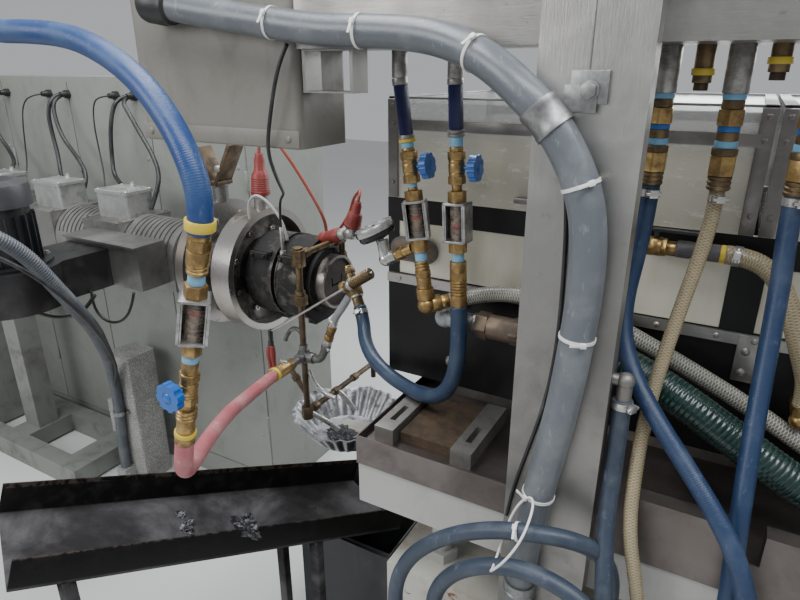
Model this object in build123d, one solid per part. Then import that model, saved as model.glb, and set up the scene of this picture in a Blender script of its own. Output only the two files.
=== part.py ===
from build123d import *
import os
from math import cos, radians, sin

os.makedirs("parts", exist_ok=True)

# Lengths in millimetres. +X runs downstream, from the extruder to the sizing tank, and the
# operator stands on the -Y side. Places are measured from the point on the floor straight
# below the back of the die nose, and each piece is then moved so that the origin is the
# middle of the first post's foot.

# Extruder base, drive, throat and hopper
AXIS_Z = 1050
BASE_BACK_X = -3450
BASE_FRONT_X = -1180
BASE_HALF_W = 170
BASE_H = 90
BASE_RAIL_W = 70
CROSS_MEMBER_W = 120
GEARBOX_FRONT_X = -2260
GEARBOX_L = 560
GEARBOX_W = 320
GEARBOX_TOP_Z = 1290
MOTOR_R = 150
MOTOR_L = 560
MOTOR_Z = 620
THROAT_X = -2000
THROAT_L = 260
THROAT_W = 220
THROAT_NECK_R = 90
HOPPER_W = 360
HOPPER_CONE_H = 330
HOPPER_TOP_Z = 1800
HOPPER_WALL = 4
BARREL_SUPPORT_X = -1660

# Barrel, heating zones and their blower
BARREL_R = 55
ZONES = 3
ZONE_X = -826
ZONE_PITCH = 350
ZONE_LID_L = 180
ZONE_GAP = 3
JACKET_HALF_W = 105
JACKET_HALF_H = 95
SLOT_W = 7
SLOT_DEPTH = 6
BOX_L = 150
BOX_W = 105
BOX_H = 88
BOX_LID_T = 10
BOX_LID_LIP = 4
PLENUM_X = (-864, -532)
PLENUM_D = 100
PLENUM_Z = (985, 1120)
DUCT_X = (-850, -662)
DUCT_Z = (985, 1100)
FAN_X = -770
FAN_Y = -440
VOLUTE_R = 140
FAN_MOTOR_R = 92
FAN_MOTOR_TOP_Z = 1330

# Control cabinet behind the barrel, and the pedestal in front of it
CABINET_X = (-2180, -455)
CABINET_Y = 190
CABINET_D = 410
CABINET_H = 1577
DOORS = 4
DOOR_GROOVE = 5
GLAND_X = (-1709, -1429, -1317, -1038, -944)
GLAND_Z = 1514
GLAND_R = 15
PEDESTAL_X = (-1100, -970)
PEDESTAL_D = 130
PEDESTAL_H = 564
CONDUIT_R = 21
CONDUIT_FOOT_Z = 70

# Head of the extruder
FLANGE_X = -400
FLANGE_R = 190
FLANGE_T = 30
NECK_R = 100
RING_X = -270
RING_R = 182
RING_T = 65
RING_WALL = 20
RING_RECESS = 42
ADAPTER_R = 92
BAND_R = 118
BAND_X = ((-200, -112), (-100, -16))
NOSE_R = 75
NOSE_T = 30
NOSE_RIM = 9

# Pipes in front of the die
PIPE_X = 14
PIPE_Y = -150
PIPE_R = 8
PIPE_TOP_Z = 1162
CROSS_Z = 882
TEE_Z = 710
UNION_Z = 1043
TOP_BRANCH_Y = 45
LOW_BRANCH_Y = 197
BARB_L = 70
DIE_VALVE = (172, -135, 1096)
DIE_VALVE_DIP = (0.5, -0.3, -0.81)

# Sizing tank
TANK_X = 320
BAY_L = 672
BAYS = 4
TANK_FRONT_Y = -220
TANK_BACK_Y = 300
TANK_Z = 953
TANK_RIM_Z = 1353
TANK_WALL = 12
WINDOW_Z = (1192, 1305)
STILE_W = 26
STRIP_H = 22
STRIP_T = 6
LID_TOP_Z = 1548
LID_T = 8
LID_GAP = 6
LID_SEAT = 0.5
HINGE_OUT = 9
HINGE_R = 6
HINGE_PIN_R = 3
HINGE_L = 60
HINGE_IN = 120

# Table under the tank
TABLE_X = 383
TABLE_FRONT_Y = -455
TABLE_BACK_Y = 330
TABLE_END = 60
TABLE_Z = 905
RIM_Z = 925
RIM_T = 3
RAIL_Y = (-180, 220)
SEAT = 0.1
BAND_Z = 862
PANEL_Z = 770
BASE_BOX_X = 443
BASE_BOX_Y = -445
BASE_BOX_Z = (60, 628)
COLUMN_R = 22
MIDDLE_COLUMN_X = (1250, 2150)
SPLASH_X = (862, 1032)
SPLASH_W = 30
SPLASH_Z = 978
TOOL_Z = 940
CLAMP_X = (405, 570)
CLAMP_Y = (-425, -235)
TOOL_X = (453, 565)

# Overhead beam, console and posts
BEAM_X = 285
BEAM_Z = 1632
BEAM_H = 150
BEAM_BACK_Y = -300
BEAM_WALL = 3
BRACKET_X = (288, 388)
BRACKET_Y = (-445, -400)
BRACKET_H = 68
POST_X = 704
POST_W = 141
POST_T = 40
POST_END_GAP = 341
CONSOLE_W = 394
CONSOLE_D = 145
CONSOLE_Z = 1470
CONSOLE_H = 420

# Water drops, each a stack of fittings that leans from its first joint
DROP_Y = -330
DROP_X = (409, 515)
DROP_LEAN = (-8.3, -3)
DROP_PIPE_R = 13.5
DROP_PIPE_L = 45
FAR_DROP_X = (840, 930, 1025)
FAR_DROP_PIPE_R = 16.7
FAR_PIPE_L = 62
HANG_TOP = (350, -760, 1400)
HANG_LEAN = 14.3
WHEEL_R = 23
WHEEL_OUT = 28
WHEEL_T = 13
STEM_R = 4
METER_W = 44
METER_D = 36
METER_WALL = 4
GAUGE_R = 32
VACUUM_X = 828
VACUUM_Z = 1329
VACUUM_OUT = 40

# Chute, bin and pan below the die
CHUTE_START = (-170, -860, 766)
CHUTE_END = (205, -88, 478)
CHUTE_W = 250
CHUTE_H = 90
CHUTE_WALL = 4
CHUTE_LEG = 25
BIN_X = (20, 318)
BIN_Y = (-220, 130)
BIN_H = 400
PAN_X = 32
PAN_Z = 543
PAN_H = 60
PAN_R = 118
FLUTES = 18
ARM_Y = (60, 100)
ARM_T = 6

# Hoses
SUPPLY_R = 17
DIE_HOSE_R = 16
PINK_R = 15
GREY_R = 24
YELLOW_R = 10.5
BLUE_R = 13.5
BRAIDED_R = 15
SUCTION_R = 30
GREY_BOX_Z = 560
NIPPLE = (862, -470, 1150)
PORT_X = (888, 938, 1045, 1092)
PORT_Y = -500
PORT_Z = (560, 600)
PORT_R = 11
SUCTION_PORT = (490, -290, 1140)
SUCTION_END = (1450, -352, 962)
BRAIDED_END = (1330, -287, 1002)
VACUUM_END = (1100, -290, 1088)

TANK_END_X = TANK_X + BAYS * BAY_L
TABLE_END_X = TANK_END_X + TABLE_END
BASE_TOP_Z = BASE_H
JACKET_TOP_Z = AXIS_Z + JACKET_HALF_H
RING_FACE_X = RING_X + RING_T - RING_RECESS
ORIGIN = (POST_X + POST_W / 2, TABLE_FRONT_Y - POST_T / 2, 0)


def block(x0, x1, y0, y1, z0, z1):
    """A box between two corners."""
    return Pos((x0 + x1) / 2, (y0 + y1) / 2, (z0 + z1) / 2) * Box(x1 - x0, y1 - y0, z1 - z0)


def bar_x(x0, x1, y, z, r):
    """A round bar along X."""
    return Pos((x0 + x1) / 2, y, z) * Rot(0, 90, 0) * Cylinder(r, x1 - x0)


def bar_y(x, y0, y1, z, r):
    """A round bar along Y."""
    return Pos(x, (y0 + y1) / 2, z) * Rot(90, 0, 0) * Cylinder(r, y1 - y0)


def bar_z(x, y, z0, z1, r):
    """A round bar along Z."""
    return Pos(x, y, (z0 + z1) / 2) * Cylinder(r, z1 - z0)


def turned(*outline):
    """A solid turned about Z from half its outline, given as (radius, height)."""
    return revolve(Plane.XZ * make_face(Polyline(*outline, close=True)), Axis.Z)


def fused(*shapes):
    """Pieces that are one."""
    whole = shapes[0]
    for s in shapes[1:]:
        whole += s
    return whole


def save(name, *solids):
    """Write one node, with the origin at the first post's foot."""
    loose = [Solid(s.wrapped) for p in solids for s in p.solids()]
    shape = loose[0] if len(loose) == 1 else Compound(children=loose)
    export_step(Pos(*ORIGIN).inverse() * shape, f"parts/{name}.step")


def tube_along(points, r):
    """A hose of straight runs and tangent arcs, each arc as large as its two runs allow."""
    points = [Vector(*p) for p in points]
    radii = []
    for a, b, c in zip(points, points[1:], points[2:]):
        half = radians((b - a).get_angle(c - b) / 2)
        run = min((b - a).length, (c - b).length)
        radii.append(0.45 * run * cos(half) / sin(half))
    path = FilletPolyline(*points, radius=radii)
    solid = sweep(Plane(path @ 0, z_dir=path % 0) * Circle(r), path=path)
    print(f"  hose {path.length:.0f} mm long, {2 * r:.0f} across, radii {min(radii):.0f} to {max(radii):.0f}")
    return solid


# Extruder base: two long rails, cross members, and the post that carries the barrel
def extruder_base():
    inner = BASE_HALF_W - BASE_RAIL_W
    base = fused(
        block(BASE_BACK_X, BASE_FRONT_X, -BASE_HALF_W, -inner, 0, BASE_H),
        block(BASE_BACK_X, BASE_FRONT_X, inner, BASE_HALF_W, 0, BASE_H),
    )
    gearbox_x = GEARBOX_FRONT_X - GEARBOX_L / 2
    half = CROSS_MEMBER_W / 2
    for x in (BASE_BACK_X + half, gearbox_x, THROAT_X, BARREL_SUPPORT_X, BASE_FRONT_X - half):
        base += block(x - half, x + half, -inner, inner, 10, BASE_H)
    base += block(BARREL_SUPPORT_X - 50, BARREL_SUPPORT_X + 50, -45, 45, BASE_H, AXIS_Z - JACKET_HALF_H)
    return base


save("extruder_base", extruder_base())


# Gearbox and motor
def gear_box():
    x0 = GEARBOX_FRONT_X - GEARBOX_L
    half = GEARBOX_W / 2
    box = block(x0, GEARBOX_FRONT_X, -half, half, BASE_TOP_Z, GEARBOX_TOP_Z)
    box = fillet(box.edges().filter_by(Axis.Z), 40)
    for x in (x0 + 140, x0 + 280, x0 + 420):
        box += block(x - 6, x + 6, -half - 12, -half, BASE_TOP_Z + 80, GEARBOX_TOP_Z - 80)
    return box


def drive_motor():
    back = GEARBOX_FRONT_X - GEARBOX_L
    motor = bar_x(back - MOTOR_L, back, 0, MOTOR_Z, MOTOR_R)
    for i in range(9):
        x = back - 110 - i * 42
        motor += bar_x(x - 6, x + 6, 0, MOTOR_Z, MOTOR_R + 12)
    motor += block(back - MOTOR_L + 60, back - 60, -110, 110, BASE_TOP_Z, MOTOR_Z)
    return motor


save("gear_box", gear_box())
save("drive_motor", drive_motor())


# Feed throat: a water-cooled block on the base, open to the hopper above
def feed_throat():
    half_l = THROAT_L / 2
    half_w = THROAT_W / 2
    throat = block(THROAT_X - half_l, THROAT_X + half_l, -half_w, half_w, AXIS_Z - 120, AXIS_Z + 130)
    throat += block(THROAT_X - 60, THROAT_X + 60, -90, 90, BASE_TOP_Z, AXIS_Z - 120)
    throat += bar_x(GEARBOX_FRONT_X, THROAT_X - half_l, 0, AXIS_Z, THROAT_NECK_R)
    throat -= block(THROAT_X - 50, THROAT_X + 50, -50, 50, AXIS_Z, AXIS_Z + 130)
    return throat


def pyramid(low_w, low_z, high_w, high_z):
    """A square funnel shape over the throat."""
    low = Pos(THROAT_X, 0, low_z) * Rectangle(low_w, low_w)
    high = Pos(THROAT_X, 0, high_z) * Rectangle(high_w, high_w)
    return loft([low, high])


def feed_hopper():
    seat_z = AXIS_Z + 130
    neck_z = seat_z + 12
    cone_z = neck_z + HOPPER_CONE_H
    wall = 2 * HOPPER_WALL
    half = HOPPER_W / 2
    body = pyramid(120, neck_z, HOPPER_W, cone_z)
    body += block(THROAT_X - half, THROAT_X + half, -half, half, cone_z, HOPPER_TOP_Z)
    body += block(THROAT_X - 100, THROAT_X + 100, -100, 100, seat_z, neck_z)
    inside = half - HOPPER_WALL
    body -= pyramid(120 - wall, neck_z, HOPPER_W - wall, cone_z)
    body -= block(THROAT_X - inside, THROAT_X + inside, -inside, inside, cone_z, HOPPER_TOP_Z)
    body -= block(THROAT_X - 56, THROAT_X + 56, -56, 56, seat_z, neck_z)
    return body


save("feed_throat", feed_throat())
save("feed_hopper", feed_hopper())

# Barrel
save("barrel", bar_x(THROAT_X + THROAT_L / 2, FLANGE_X, 0, AXIS_Z, BARREL_R))


# Heating zones: flat-lidded sections that carry the terminal boxes, and slotted round-topped
# covers between them
def flat_section(x0, x1):
    section = block(x0, x1, -JACKET_HALF_W, JACKET_HALF_W, AXIS_Z - JACKET_HALF_H, JACKET_TOP_Z)
    return section - bar_x(x0, x1, 0, AXIS_Z, BARREL_R + 0.3)


def slotted_section(x0, x1):
    section = block(x0, x1, -JACKET_HALF_W, JACKET_HALF_W, AXIS_Z - JACKET_HALF_H, AXIS_Z)
    section += bar_x(x0, x1, 0, AXIS_Z, JACKET_HALF_W)
    slots = int((x1 - x0 - 20) / (3 * SLOT_W))
    first = (x0 + x1) / 2 - (slots - 1) * 1.5 * SLOT_W
    for i in range(slots):
        x = first + i * 3 * SLOT_W - SLOT_W / 2
        slot = bar_x(x, x + SLOT_W, 0, AXIS_Z, JACKET_HALF_W)
        slot -= bar_x(x, x + SLOT_W, 0, AXIS_Z, JACKET_HALF_W - SLOT_DEPTH)
        section -= slot - block(x, x + SLOT_W, -JACKET_HALF_W, JACKET_HALF_W, 0, AXIS_Z + 30)
    return section - bar_x(x0, x1, 0, AXIS_Z, BARREL_R + 0.3)


def heater_jackets():
    sections = []
    for k in range(ZONES):
        x = ZONE_X - k * ZONE_PITCH
        end = FLANGE_X - FLANGE_T - 75 if k == 0 else x + ZONE_PITCH - ZONE_LID_L / 2
        sections.append(flat_section(x - ZONE_LID_L / 2, x + ZONE_LID_L / 2 - ZONE_GAP))
        sections.append(slotted_section(x + ZONE_LID_L / 2, end - ZONE_GAP))
    return sections


def terminal_box(x):
    half_l = BOX_L / 2
    half_w = BOX_W / 2
    top = JACKET_TOP_Z + BOX_H
    box = block(x - half_l, x + half_l, -half_w, half_w, JACKET_TOP_Z, top - BOX_LID_T)
    box = fillet(box.edges().filter_by(Axis.Z), 8)
    half_l += BOX_LID_LIP
    half_w += BOX_LID_LIP
    lid = block(x - half_l, x + half_l, -half_w, half_w, top - BOX_LID_T, top)
    lid = fillet(lid.edges().filter_by(Axis.Z), 10)
    return box + lid + bar_z(x, BOX_W / 2 - 14, top, top + 16, 7)


save("heater_jackets", *heater_jackets())
save("terminal_boxes", *[terminal_box(ZONE_X - k * ZONE_PITCH) for k in range(ZONES)])


# Blower: plenum against the jackets, duct, volute and upright motor with cooling ribs
def plenum():
    y1 = -JACKET_HALF_W - 0.3
    box = block(*PLENUM_X, y1 - PLENUM_D, y1, *PLENUM_Z)
    rib = block(PLENUM_X[0], PLENUM_X[1], y1 - PLENUM_D - 10, y1 - PLENUM_D, PLENUM_Z[1] - 6, PLENUM_Z[1])
    return box + rib


def fan_duct():
    plenum_y = -JACKET_HALF_W - 0.3 - PLENUM_D
    duct = block(*DUCT_X, FAN_Y, plenum_y, *DUCT_Z)
    volute = bar_z(FAN_X, FAN_Y, *DUCT_Z, VOLUTE_R)
    flange = bar_z(FAN_X, FAN_Y, DUCT_Z[1], DUCT_Z[1] + 8, FAN_MOTOR_R + 22)
    return duct + volute + flange


def fan_motor():
    z0 = DUCT_Z[1] + 8
    motor = bar_z(FAN_X, FAN_Y, z0, FAN_MOTOR_TOP_Z - 60, FAN_MOTOR_R - 10)
    for i in range(20):
        fin = block(FAN_MOTOR_R - 20, FAN_MOTOR_R, -2, 2, z0, FAN_MOTOR_TOP_Z - 90)
        motor += Pos(FAN_X, FAN_Y, 0) * Rot(0, 0, i * 18) * fin
    cap = turned((0, 0), (FAN_MOTOR_R, 0), (FAN_MOTOR_R, 36), (FAN_MOTOR_R - 26, 60), (0, 60))
    motor += Pos(FAN_X, FAN_Y, FAN_MOTOR_TOP_Z - 60) * cap
    box_x = FAN_X - FAN_MOTOR_R
    motor += block(box_x - 50, box_x + 14, FAN_Y - 42, FAN_Y + 42, z0 + 50, z0 + 130)
    return motor


save("barrel_cover", plenum())
save("fan_duct", fan_duct())
save("fan_motor", fan_motor())


# Control cabinet: one housing with grooves between its doors, and a foot
def control_cabinet():
    x0, x1 = CABINET_X
    housing = block(x0, x1, CABINET_Y, CABINET_Y + CABINET_D, 0, CABINET_H)
    door_w = (x1 - x0) / DOORS
    for k in range(DOORS + 1):
        x = x0 + k * door_w
        half = DOOR_GROOVE / 2
        housing -= block(x - half, x + half, CABINET_Y, CABINET_Y + 6, 100, CABINET_H - 20)
    housing -= block(x0, x1, CABINET_Y, CABINET_Y + 6, 96, 96 + DOOR_GROOVE)
    return housing


def gland(x):
    nut = extrude(RegularPolygon(GLAND_R + 2, 6), amount=12)
    tip = turned((0, 12), (GLAND_R - 3, 12), (GLAND_R - 6, 34), (0, 34))
    return Pos(x, CABINET_Y, GLAND_Z) * Rot(90, 0, 0) * (nut + tip)


save("control_cabinet", control_cabinet())
save("cabinet_plugs", *[gland(x) for x in GLAND_X])


# Pedestal beside the base, with the clip that holds the conduit's foot
def pedestal():
    box = block(*PEDESTAL_X, 0, PEDESTAL_D, 0, PEDESTAL_H)
    box = fillet(box.edges().filter_by(Axis.Z), 10)
    side = block(PEDESTAL_X[0] - 70, PEDESTAL_X[0], 20, 110, 180, 330)
    foot = block(PEDESTAL_X[0] + 15, PEDESTAL_X[0] + 70, -50, 0, 0, CONDUIT_FOOT_Z)
    return box + side + foot


save("pedestal", pedestal())

# Head of the extruder: flange, clamp ring, adapter with its heater bands, and the nose
save("rear_flange", bar_x(FLANGE_X, FLANGE_X + FLANGE_T, 0, AXIS_Z, FLANGE_R))


def clamp_ring():
    face = RING_X + RING_T
    ring = bar_x(RING_X, face, 0, AXIS_Z, RING_R)
    ring -= bar_x(RING_FACE_X, face, 0, AXIS_Z, RING_R - RING_WALL)
    return ring + bar_x(FLANGE_X + FLANGE_T, RING_X, 0, AXIS_Z, NECK_R)


def die_adapter():
    core = bar_x(RING_FACE_X, 0, 0, AXIS_Z, ADAPTER_R)
    for x0, x1 in BAND_X:
        core += bar_x(x0, x1, 0, AXIS_Z, BAND_R)
        x = (x0 + x1) / 2
        core += block(x - 14, x + 14, -16, 16, AXIS_Z - BAND_R - 20, AXIS_Z - ADAPTER_R)
    return core


def die_nose():
    nose = bar_x(0, NOSE_T, 0, AXIS_Z, NOSE_R)
    nose -= bar_x(NOSE_T - 6, NOSE_T, 0, AXIS_Z, NOSE_R - NOSE_RIM)
    leg = Box(40, 5, 24)
    opening = fused(Box(40, 50, 5), Pos(0, -22, 10) * leg, Pos(0, 22, 10) * leg)
    return nose - Pos(NOSE_T, 0, AXIS_Z - 6) * opening


def plug(x, y, z, lean_x, lean_y):
    """A heater plug in its socket, standing on a band."""
    outline = (0, 0), (19, 0), (19, 40), (15, 40), (16, 108), (11, 154), (0, 154)
    return Pos(x, y, z) * Rot(lean_x, lean_y, 0) * turned(*outline)


save("clamp_ring", clamp_ring())
save("die_adapter", die_adapter())
save("die_nose", die_nose())
ring_mid_x = RING_X + RING_T / 2
plugs = [
    plug(ring_mid_x, 0, AXIS_Z + RING_R - 1, 0, 0) - bar_x(RING_X, RING_X + RING_T, 0, AXIS_Z, RING_R),
    plug(-52, 0, AXIS_Z + BAND_R - 12, 0, 33) - bar_x(*BAND_X[1], 0, AXIS_Z, BAND_R),
]
save("heater_plugs", *plugs)


DIE_VALVE_PLANE = Plane(origin=DIE_VALVE, z_dir=-Vector(*DIE_VALVE_DIP))


# Pipes in front of the die: an upright with elbow, cross and tee, the branch to the nose, the
# lower branch, two bent tubes over the pan, and the flexible tube to the valve
def pipe_cross():
    tree = bar_z(PIPE_X, PIPE_Y, TEE_Z - 18, PIPE_TOP_Z + 12, PIPE_R)
    for z in (PIPE_TOP_Z, UNION_Z, CROSS_Z, TEE_Z):
        tree += bar_z(PIPE_X, PIPE_Y, z - 20, z + 20, PIPE_R + 6)
    tree += bar_y(PIPE_X, PIPE_Y, TOP_BRANCH_Y, PIPE_TOP_Z, PIPE_R)
    tree += Pos(PIPE_X, TOP_BRANCH_Y, PIPE_TOP_Z) * Sphere(PIPE_R + 6)
    nose_z = AXIS_Z + (NOSE_R**2 - TOP_BRANCH_Y**2) ** 0.5
    down = bar_z(PIPE_X, TOP_BRANCH_Y, nose_z - 4, PIPE_TOP_Z, PIPE_R)
    tree += down - bar_x(0, NOSE_T, 0, AXIS_Z, NOSE_R)
    tree += bar_y(PIPE_X, PIPE_Y - 34, PIPE_Y, CROSS_Z, PIPE_R + 5)
    tree += bar_y(PIPE_X, PIPE_Y - BARB_L, PIPE_Y - 34, CROSS_Z, PIPE_R + 2)
    tree += bar_x(PIPE_X, PIPE_X + 30, PIPE_Y, CROSS_Z, PIPE_R + 5)
    tree += bar_y(PIPE_X, PIPE_Y, LOW_BRANCH_Y, TEE_Z, PIPE_R)
    tree += Pos(PIPE_X, LOW_BRANCH_Y, TEE_Z) * Sphere(PIPE_R + 6)
    tree += bar_z(PIPE_X, LOW_BRANCH_Y, TEE_Z - 50, TEE_Z, PIPE_R)
    rod_y = PIPE_Y - PIPE_R - 2.5
    rod = Line((-89, rod_y, 935), (241, rod_y, 1158))
    tree += sweep(Plane(rod @ 0, z_dir=rod % 0) * Circle(3), path=rod)
    return tree


def bent_tube(points, r, bend):
    path = FilletPolyline(*points, radius=bend)
    return sweep(Plane(path @ 0, z_dir=path % 0) * Circle(r), path=path)


def die_valve():
    barb = Pos(0, 0, -32) * Cylinder(12, 28)
    body = Cylinder(16, 36) + Pos(0, 0, 26) * Cylinder(12, 20) + Pos(0, 0, 38) * Sphere(15)
    return DIE_VALVE_PLANE * (barb + body) + bar_x(DIE_VALVE[0] - 42, DIE_VALVE[0], *DIE_VALVE[1:], 10)


flexible = bent_tube([
    (PIPE_X + 30, PIPE_Y, CROSS_Z), (PIPE_X + 60, PIPE_Y, CROSS_Z), (PIPE_X + 92, PIPE_Y + 6, CROSS_Z + 60),
    (PIPE_X + 96, *DIE_VALVE[1:]), (DIE_VALVE[0] - 40, *DIE_VALVE[1:]),
], PIPE_R + 1, 16)
to_pan = [
    bent_tube([
        (PIPE_X, PIPE_Y, z), (PIPE_X + out, PIPE_Y, z), (PIPE_X + out + 8, -28, z - 30),
        (PIPE_X + out + 8, -24, 600),
    ], 6, 22)
    for out, z in ((34, 840), (56, 800))
]
save("pipe_cross", fused(pipe_cross(), flexible, die_valve(), *to_pan))


# Overhead console, beam and posts
def overhead_console():
    x0 = BEAM_X - CONSOLE_W
    y1 = TABLE_FRONT_Y + CONSOLE_D
    console = block(x0, BEAM_X, TABLE_FRONT_Y, y1, CONSOLE_Z, CONSOLE_Z + CONSOLE_H)
    console = fillet(console.edges().filter_by(Axis.Z), 14)
    console -= block(x0 + 20, BEAM_X - 20, TABLE_FRONT_Y + 20, y1 - 20, CONSOLE_Z, CONSOLE_Z + 12)
    coupling = bar_x(x0 - 24, x0, -420, 1850, SUPPLY_R + 5)
    return console + coupling


def overhead_beam():
    wall = BEAM_WALL
    top = BEAM_Z + BEAM_H
    beam = block(BEAM_X, TANK_END_X, TABLE_FRONT_Y, BEAM_BACK_Y, BEAM_Z, top)
    beam -= block(
        BEAM_X + wall, TANK_END_X - wall, TABLE_FRONT_Y + wall, BEAM_BACK_Y - wall, BEAM_Z + wall, top - wall
    )
    x0, x1 = BRACKET_X
    y0, y1 = BRACKET_Y
    tube = block(x0, x1, y0, y1, BEAM_Z - BRACKET_H, BEAM_Z)
    tube -= block(x0 + 2 * wall, x1 - 2 * wall, y0, y1, BEAM_Z - BRACKET_H + wall, BEAM_Z - wall)
    return beam + tube


# Posts, the first with the box that takes the big hose and a nipple for a water hose
def posts():
    front = TABLE_FRONT_Y - POST_T
    top = BEAM_Z + BEAM_H
    near, far = [
        block(x, x + POST_W, front, TABLE_FRONT_Y, 0, top) for x in (POST_X, TANK_END_X - POST_END_GAP)
    ]
    near += block(POST_X, POST_X + 84, front - 60, front, GREY_BOX_Z - 120, GREY_BOX_Z)
    side = POST_X + POST_W
    x, y, z = NIPPLE
    near += bar_x(side, x, y, z + 30, 9) + Pos(x, y, z + 30) * Sphere(13) + bar_z(x, y, z, z + 30, 11)
    return near, far


save("overhead_console", overhead_console())
save("overhead_beam", overhead_beam())
save("posts", *posts())


# Stacks of fittings, built downwards from their first joint
def stack(*fittings):
    """Round and six-sided fittings end to end, each given as (sides, length, radius)."""
    z = 0
    pieces = []
    for sides, length, r in fittings:
        if sides:
            pieces.append(Pos(0, 0, z - length) * extrude(RegularPolygon(r, sides), amount=length))
        else:
            pieces.append(Pos(0, 0, z - length / 2) * Cylinder(r, length))
        z -= length
    return fused(*pieces)


VALVE = ((6, 14, 16), (0, 28, 14), (6, 14, 16))
METER_H = 72
LEFT_DROP = (
    (0, 103, 15), (0, 6, 17), (0, 16, 12), *VALVE, (0, 14, 9), (6, 18, 17), (0, METER_H, 9),
    (6, 24, 17), (0, 18, 10), (0, 54, 14), (0, 22, 17),
)
ELBOW_TURN = 40
LEFT_VALVE_Z = -(103 + 6 + 16 + 28)
LEFT_METER_Z = -(103 + 6 + 16 + 56 + 14 + 18)
RIGHT_DROP = (
    (0, 82, 15), (0, 12, 17), (0, 24, 12), *VALVE, (0, 12, 9), (6, 20, 17), (0, METER_H, 9),
    (6, 20, 17), (0, 16, 10), (0, 86, 15.5),
)
RIGHT_VALVE_Z = -(82 + 12 + 24 + 28)
RIGHT_METER_Z = -(82 + 12 + 24 + 56 + 12 + 20)
HANGING = (
    (0, 78, 14), (0, 17, 12), (6, 20, 16), (0, METER_H + 14, 9), (6, 24, 16), *VALVE, (0, 12, 11), (0, 67, 17),
)
HANG_METER_Z = -(78 + 17 + 20)
HANG_METER_H = METER_H + 14
HANG_VALVE_Z = -(78 + 17 + 20 + HANG_METER_H + 24 + 28)
FAR_DROP = (
    (0, 20, 14), (6, 24, 20), (0, 30, 14), (0, 10, 17), (6, 28, 20), (0, 18, 17),
)
stack_top = BEAM_Z - DROP_PIPE_L
left_at = Pos(DROP_X[0], DROP_Y, stack_top) * Rot(0, DROP_LEAN[0], 0)
right_at = Pos(DROP_X[1], DROP_Y, stack_top) * Rot(0, DROP_LEAN[1], 0)
hang_at = Pos(*HANG_TOP) * Rot(0, HANG_LEAN, 0)
pipes = [bar_z(x, DROP_Y, stack_top, BEAM_Z, DROP_PIPE_R) for x in DROP_X]
left_length = sum(f[1] for f in LEFT_DROP)
elbow = Sphere(18) + Pos(22, 0, 0) * Rot(0, 90, 0) * Cylinder(14, 44)
elbow = Pos(0, 0, -left_length - 12) * Rot(0, 0, ELBOW_TURN) * elbow
left = left_at * fused(stack(*LEFT_DROP), elbow)
right = right_at * stack(*RIGHT_DROP)
far_top = BEAM_Z - FAR_PIPE_L
far = [
    bar_z(x, DROP_Y, far_top, BEAM_Z, FAR_DROP_PIPE_R) + Pos(x, DROP_Y, far_top) * stack(*FAR_DROP)
    for x in FAR_DROP_X
]
gauge_tee = Pos(-24, 0, 0) * Rot(0, 90, 0) * Cylinder(8, 48)
gauge_tee = left_at * Pos(0, 0, LEFT_METER_Z - METER_H - 12) * gauge_tee


def tank_elbow(x, y, z, r, out):
    """An elbow that leaves the tank's front and turns along X, upstream for a negative length."""
    turn = bar_y(x, y, TANK_FRONT_Y, z, r) + Pos(x, y, z) * Rot(0, 0, -90) * Sphere(r + 3)
    return turn + bar_x(min(x, x + out), max(x, x + out), y, z, r)


suction_x, suction_y, suction_z = SUCTION_PORT
union = bar_x(suction_x + 85, suction_x + 160, suction_y, suction_z, 26)
vacuum_x, vacuum_y, vacuum_z = VACUUM_END
vacuum_port = fused(
    bar_y(vacuum_x, vacuum_y, TANK_FRONT_Y, vacuum_z, 11), Pos(vacuum_x, vacuum_y, vacuum_z) * Sphere(14),
    bar_z(vacuum_x, vacuum_y, vacuum_z, vacuum_z + 26, 11),
)
ports = [
    tank_elbow(*SUCTION_PORT, 17, 100) + union,
    tank_elbow(*SUCTION_END, 24, -50),
    tank_elbow(*BRAIDED_END, 13, -36),
    vacuum_port,
]
save("water_drops", fused(pipes[0], left, gauge_tee), fused(pipes[1], right), *far, *ports)
save("hanging_meter", hang_at * stack(*HANGING))


def meter_frame(height):
    """A square frame round a meter's tube, open in front and behind."""
    frame = Box(METER_W, METER_D, height)
    frame -= Box(METER_W - 2 * METER_WALL, METER_D, height - 2 * METER_WALL)
    return frame - Cylinder(9.2, height)


save(
    "flow_meters",
    left_at * Pos(0, 0, LEFT_METER_Z - METER_H / 2) * meter_frame(METER_H - 0.4),
    right_at * Pos(0, 0, RIGHT_METER_Z - METER_H / 2) * meter_frame(METER_H - 0.4),
    hang_at * Pos(0, 0, HANG_METER_Z - HANG_METER_H / 2) * meter_frame(HANG_METER_H - 0.4),
)


def handwheel():
    """A lobed handwheel and its stem, which point along +X from the valve's axis."""
    stem = Pos(14.5 + (WHEEL_OUT - 14.5) / 2, 0, 0) * Rot(0, 90, 0) * Cylinder(STEM_R, WHEEL_OUT - 14.5)
    rim = Cylinder(WHEEL_R, WHEEL_T)
    for i in range(8):
        rim -= Rot(0, 0, i * 45) * Pos(WHEEL_R + 4, 0, 0) * Cylinder(6.5, WHEEL_T)
    rim -= Pos(0, 0, WHEEL_T / 2) * Cylinder(9, 6)
    return stem + Pos(WHEEL_OUT + WHEEL_T / 2, 0, 0) * Rot(0, 90, 0) * rim


save("valve_wheel_1", left_at * Pos(0, 0, LEFT_VALVE_Z) * handwheel())
save("valve_wheel_2", right_at * Pos(0, 0, RIGHT_VALVE_Z) * handwheel())
save("valve_wheel_3", hang_at * Pos(0, 0, HANG_VALVE_Z) * Rot(0, 0, -90) * handwheel())

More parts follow.
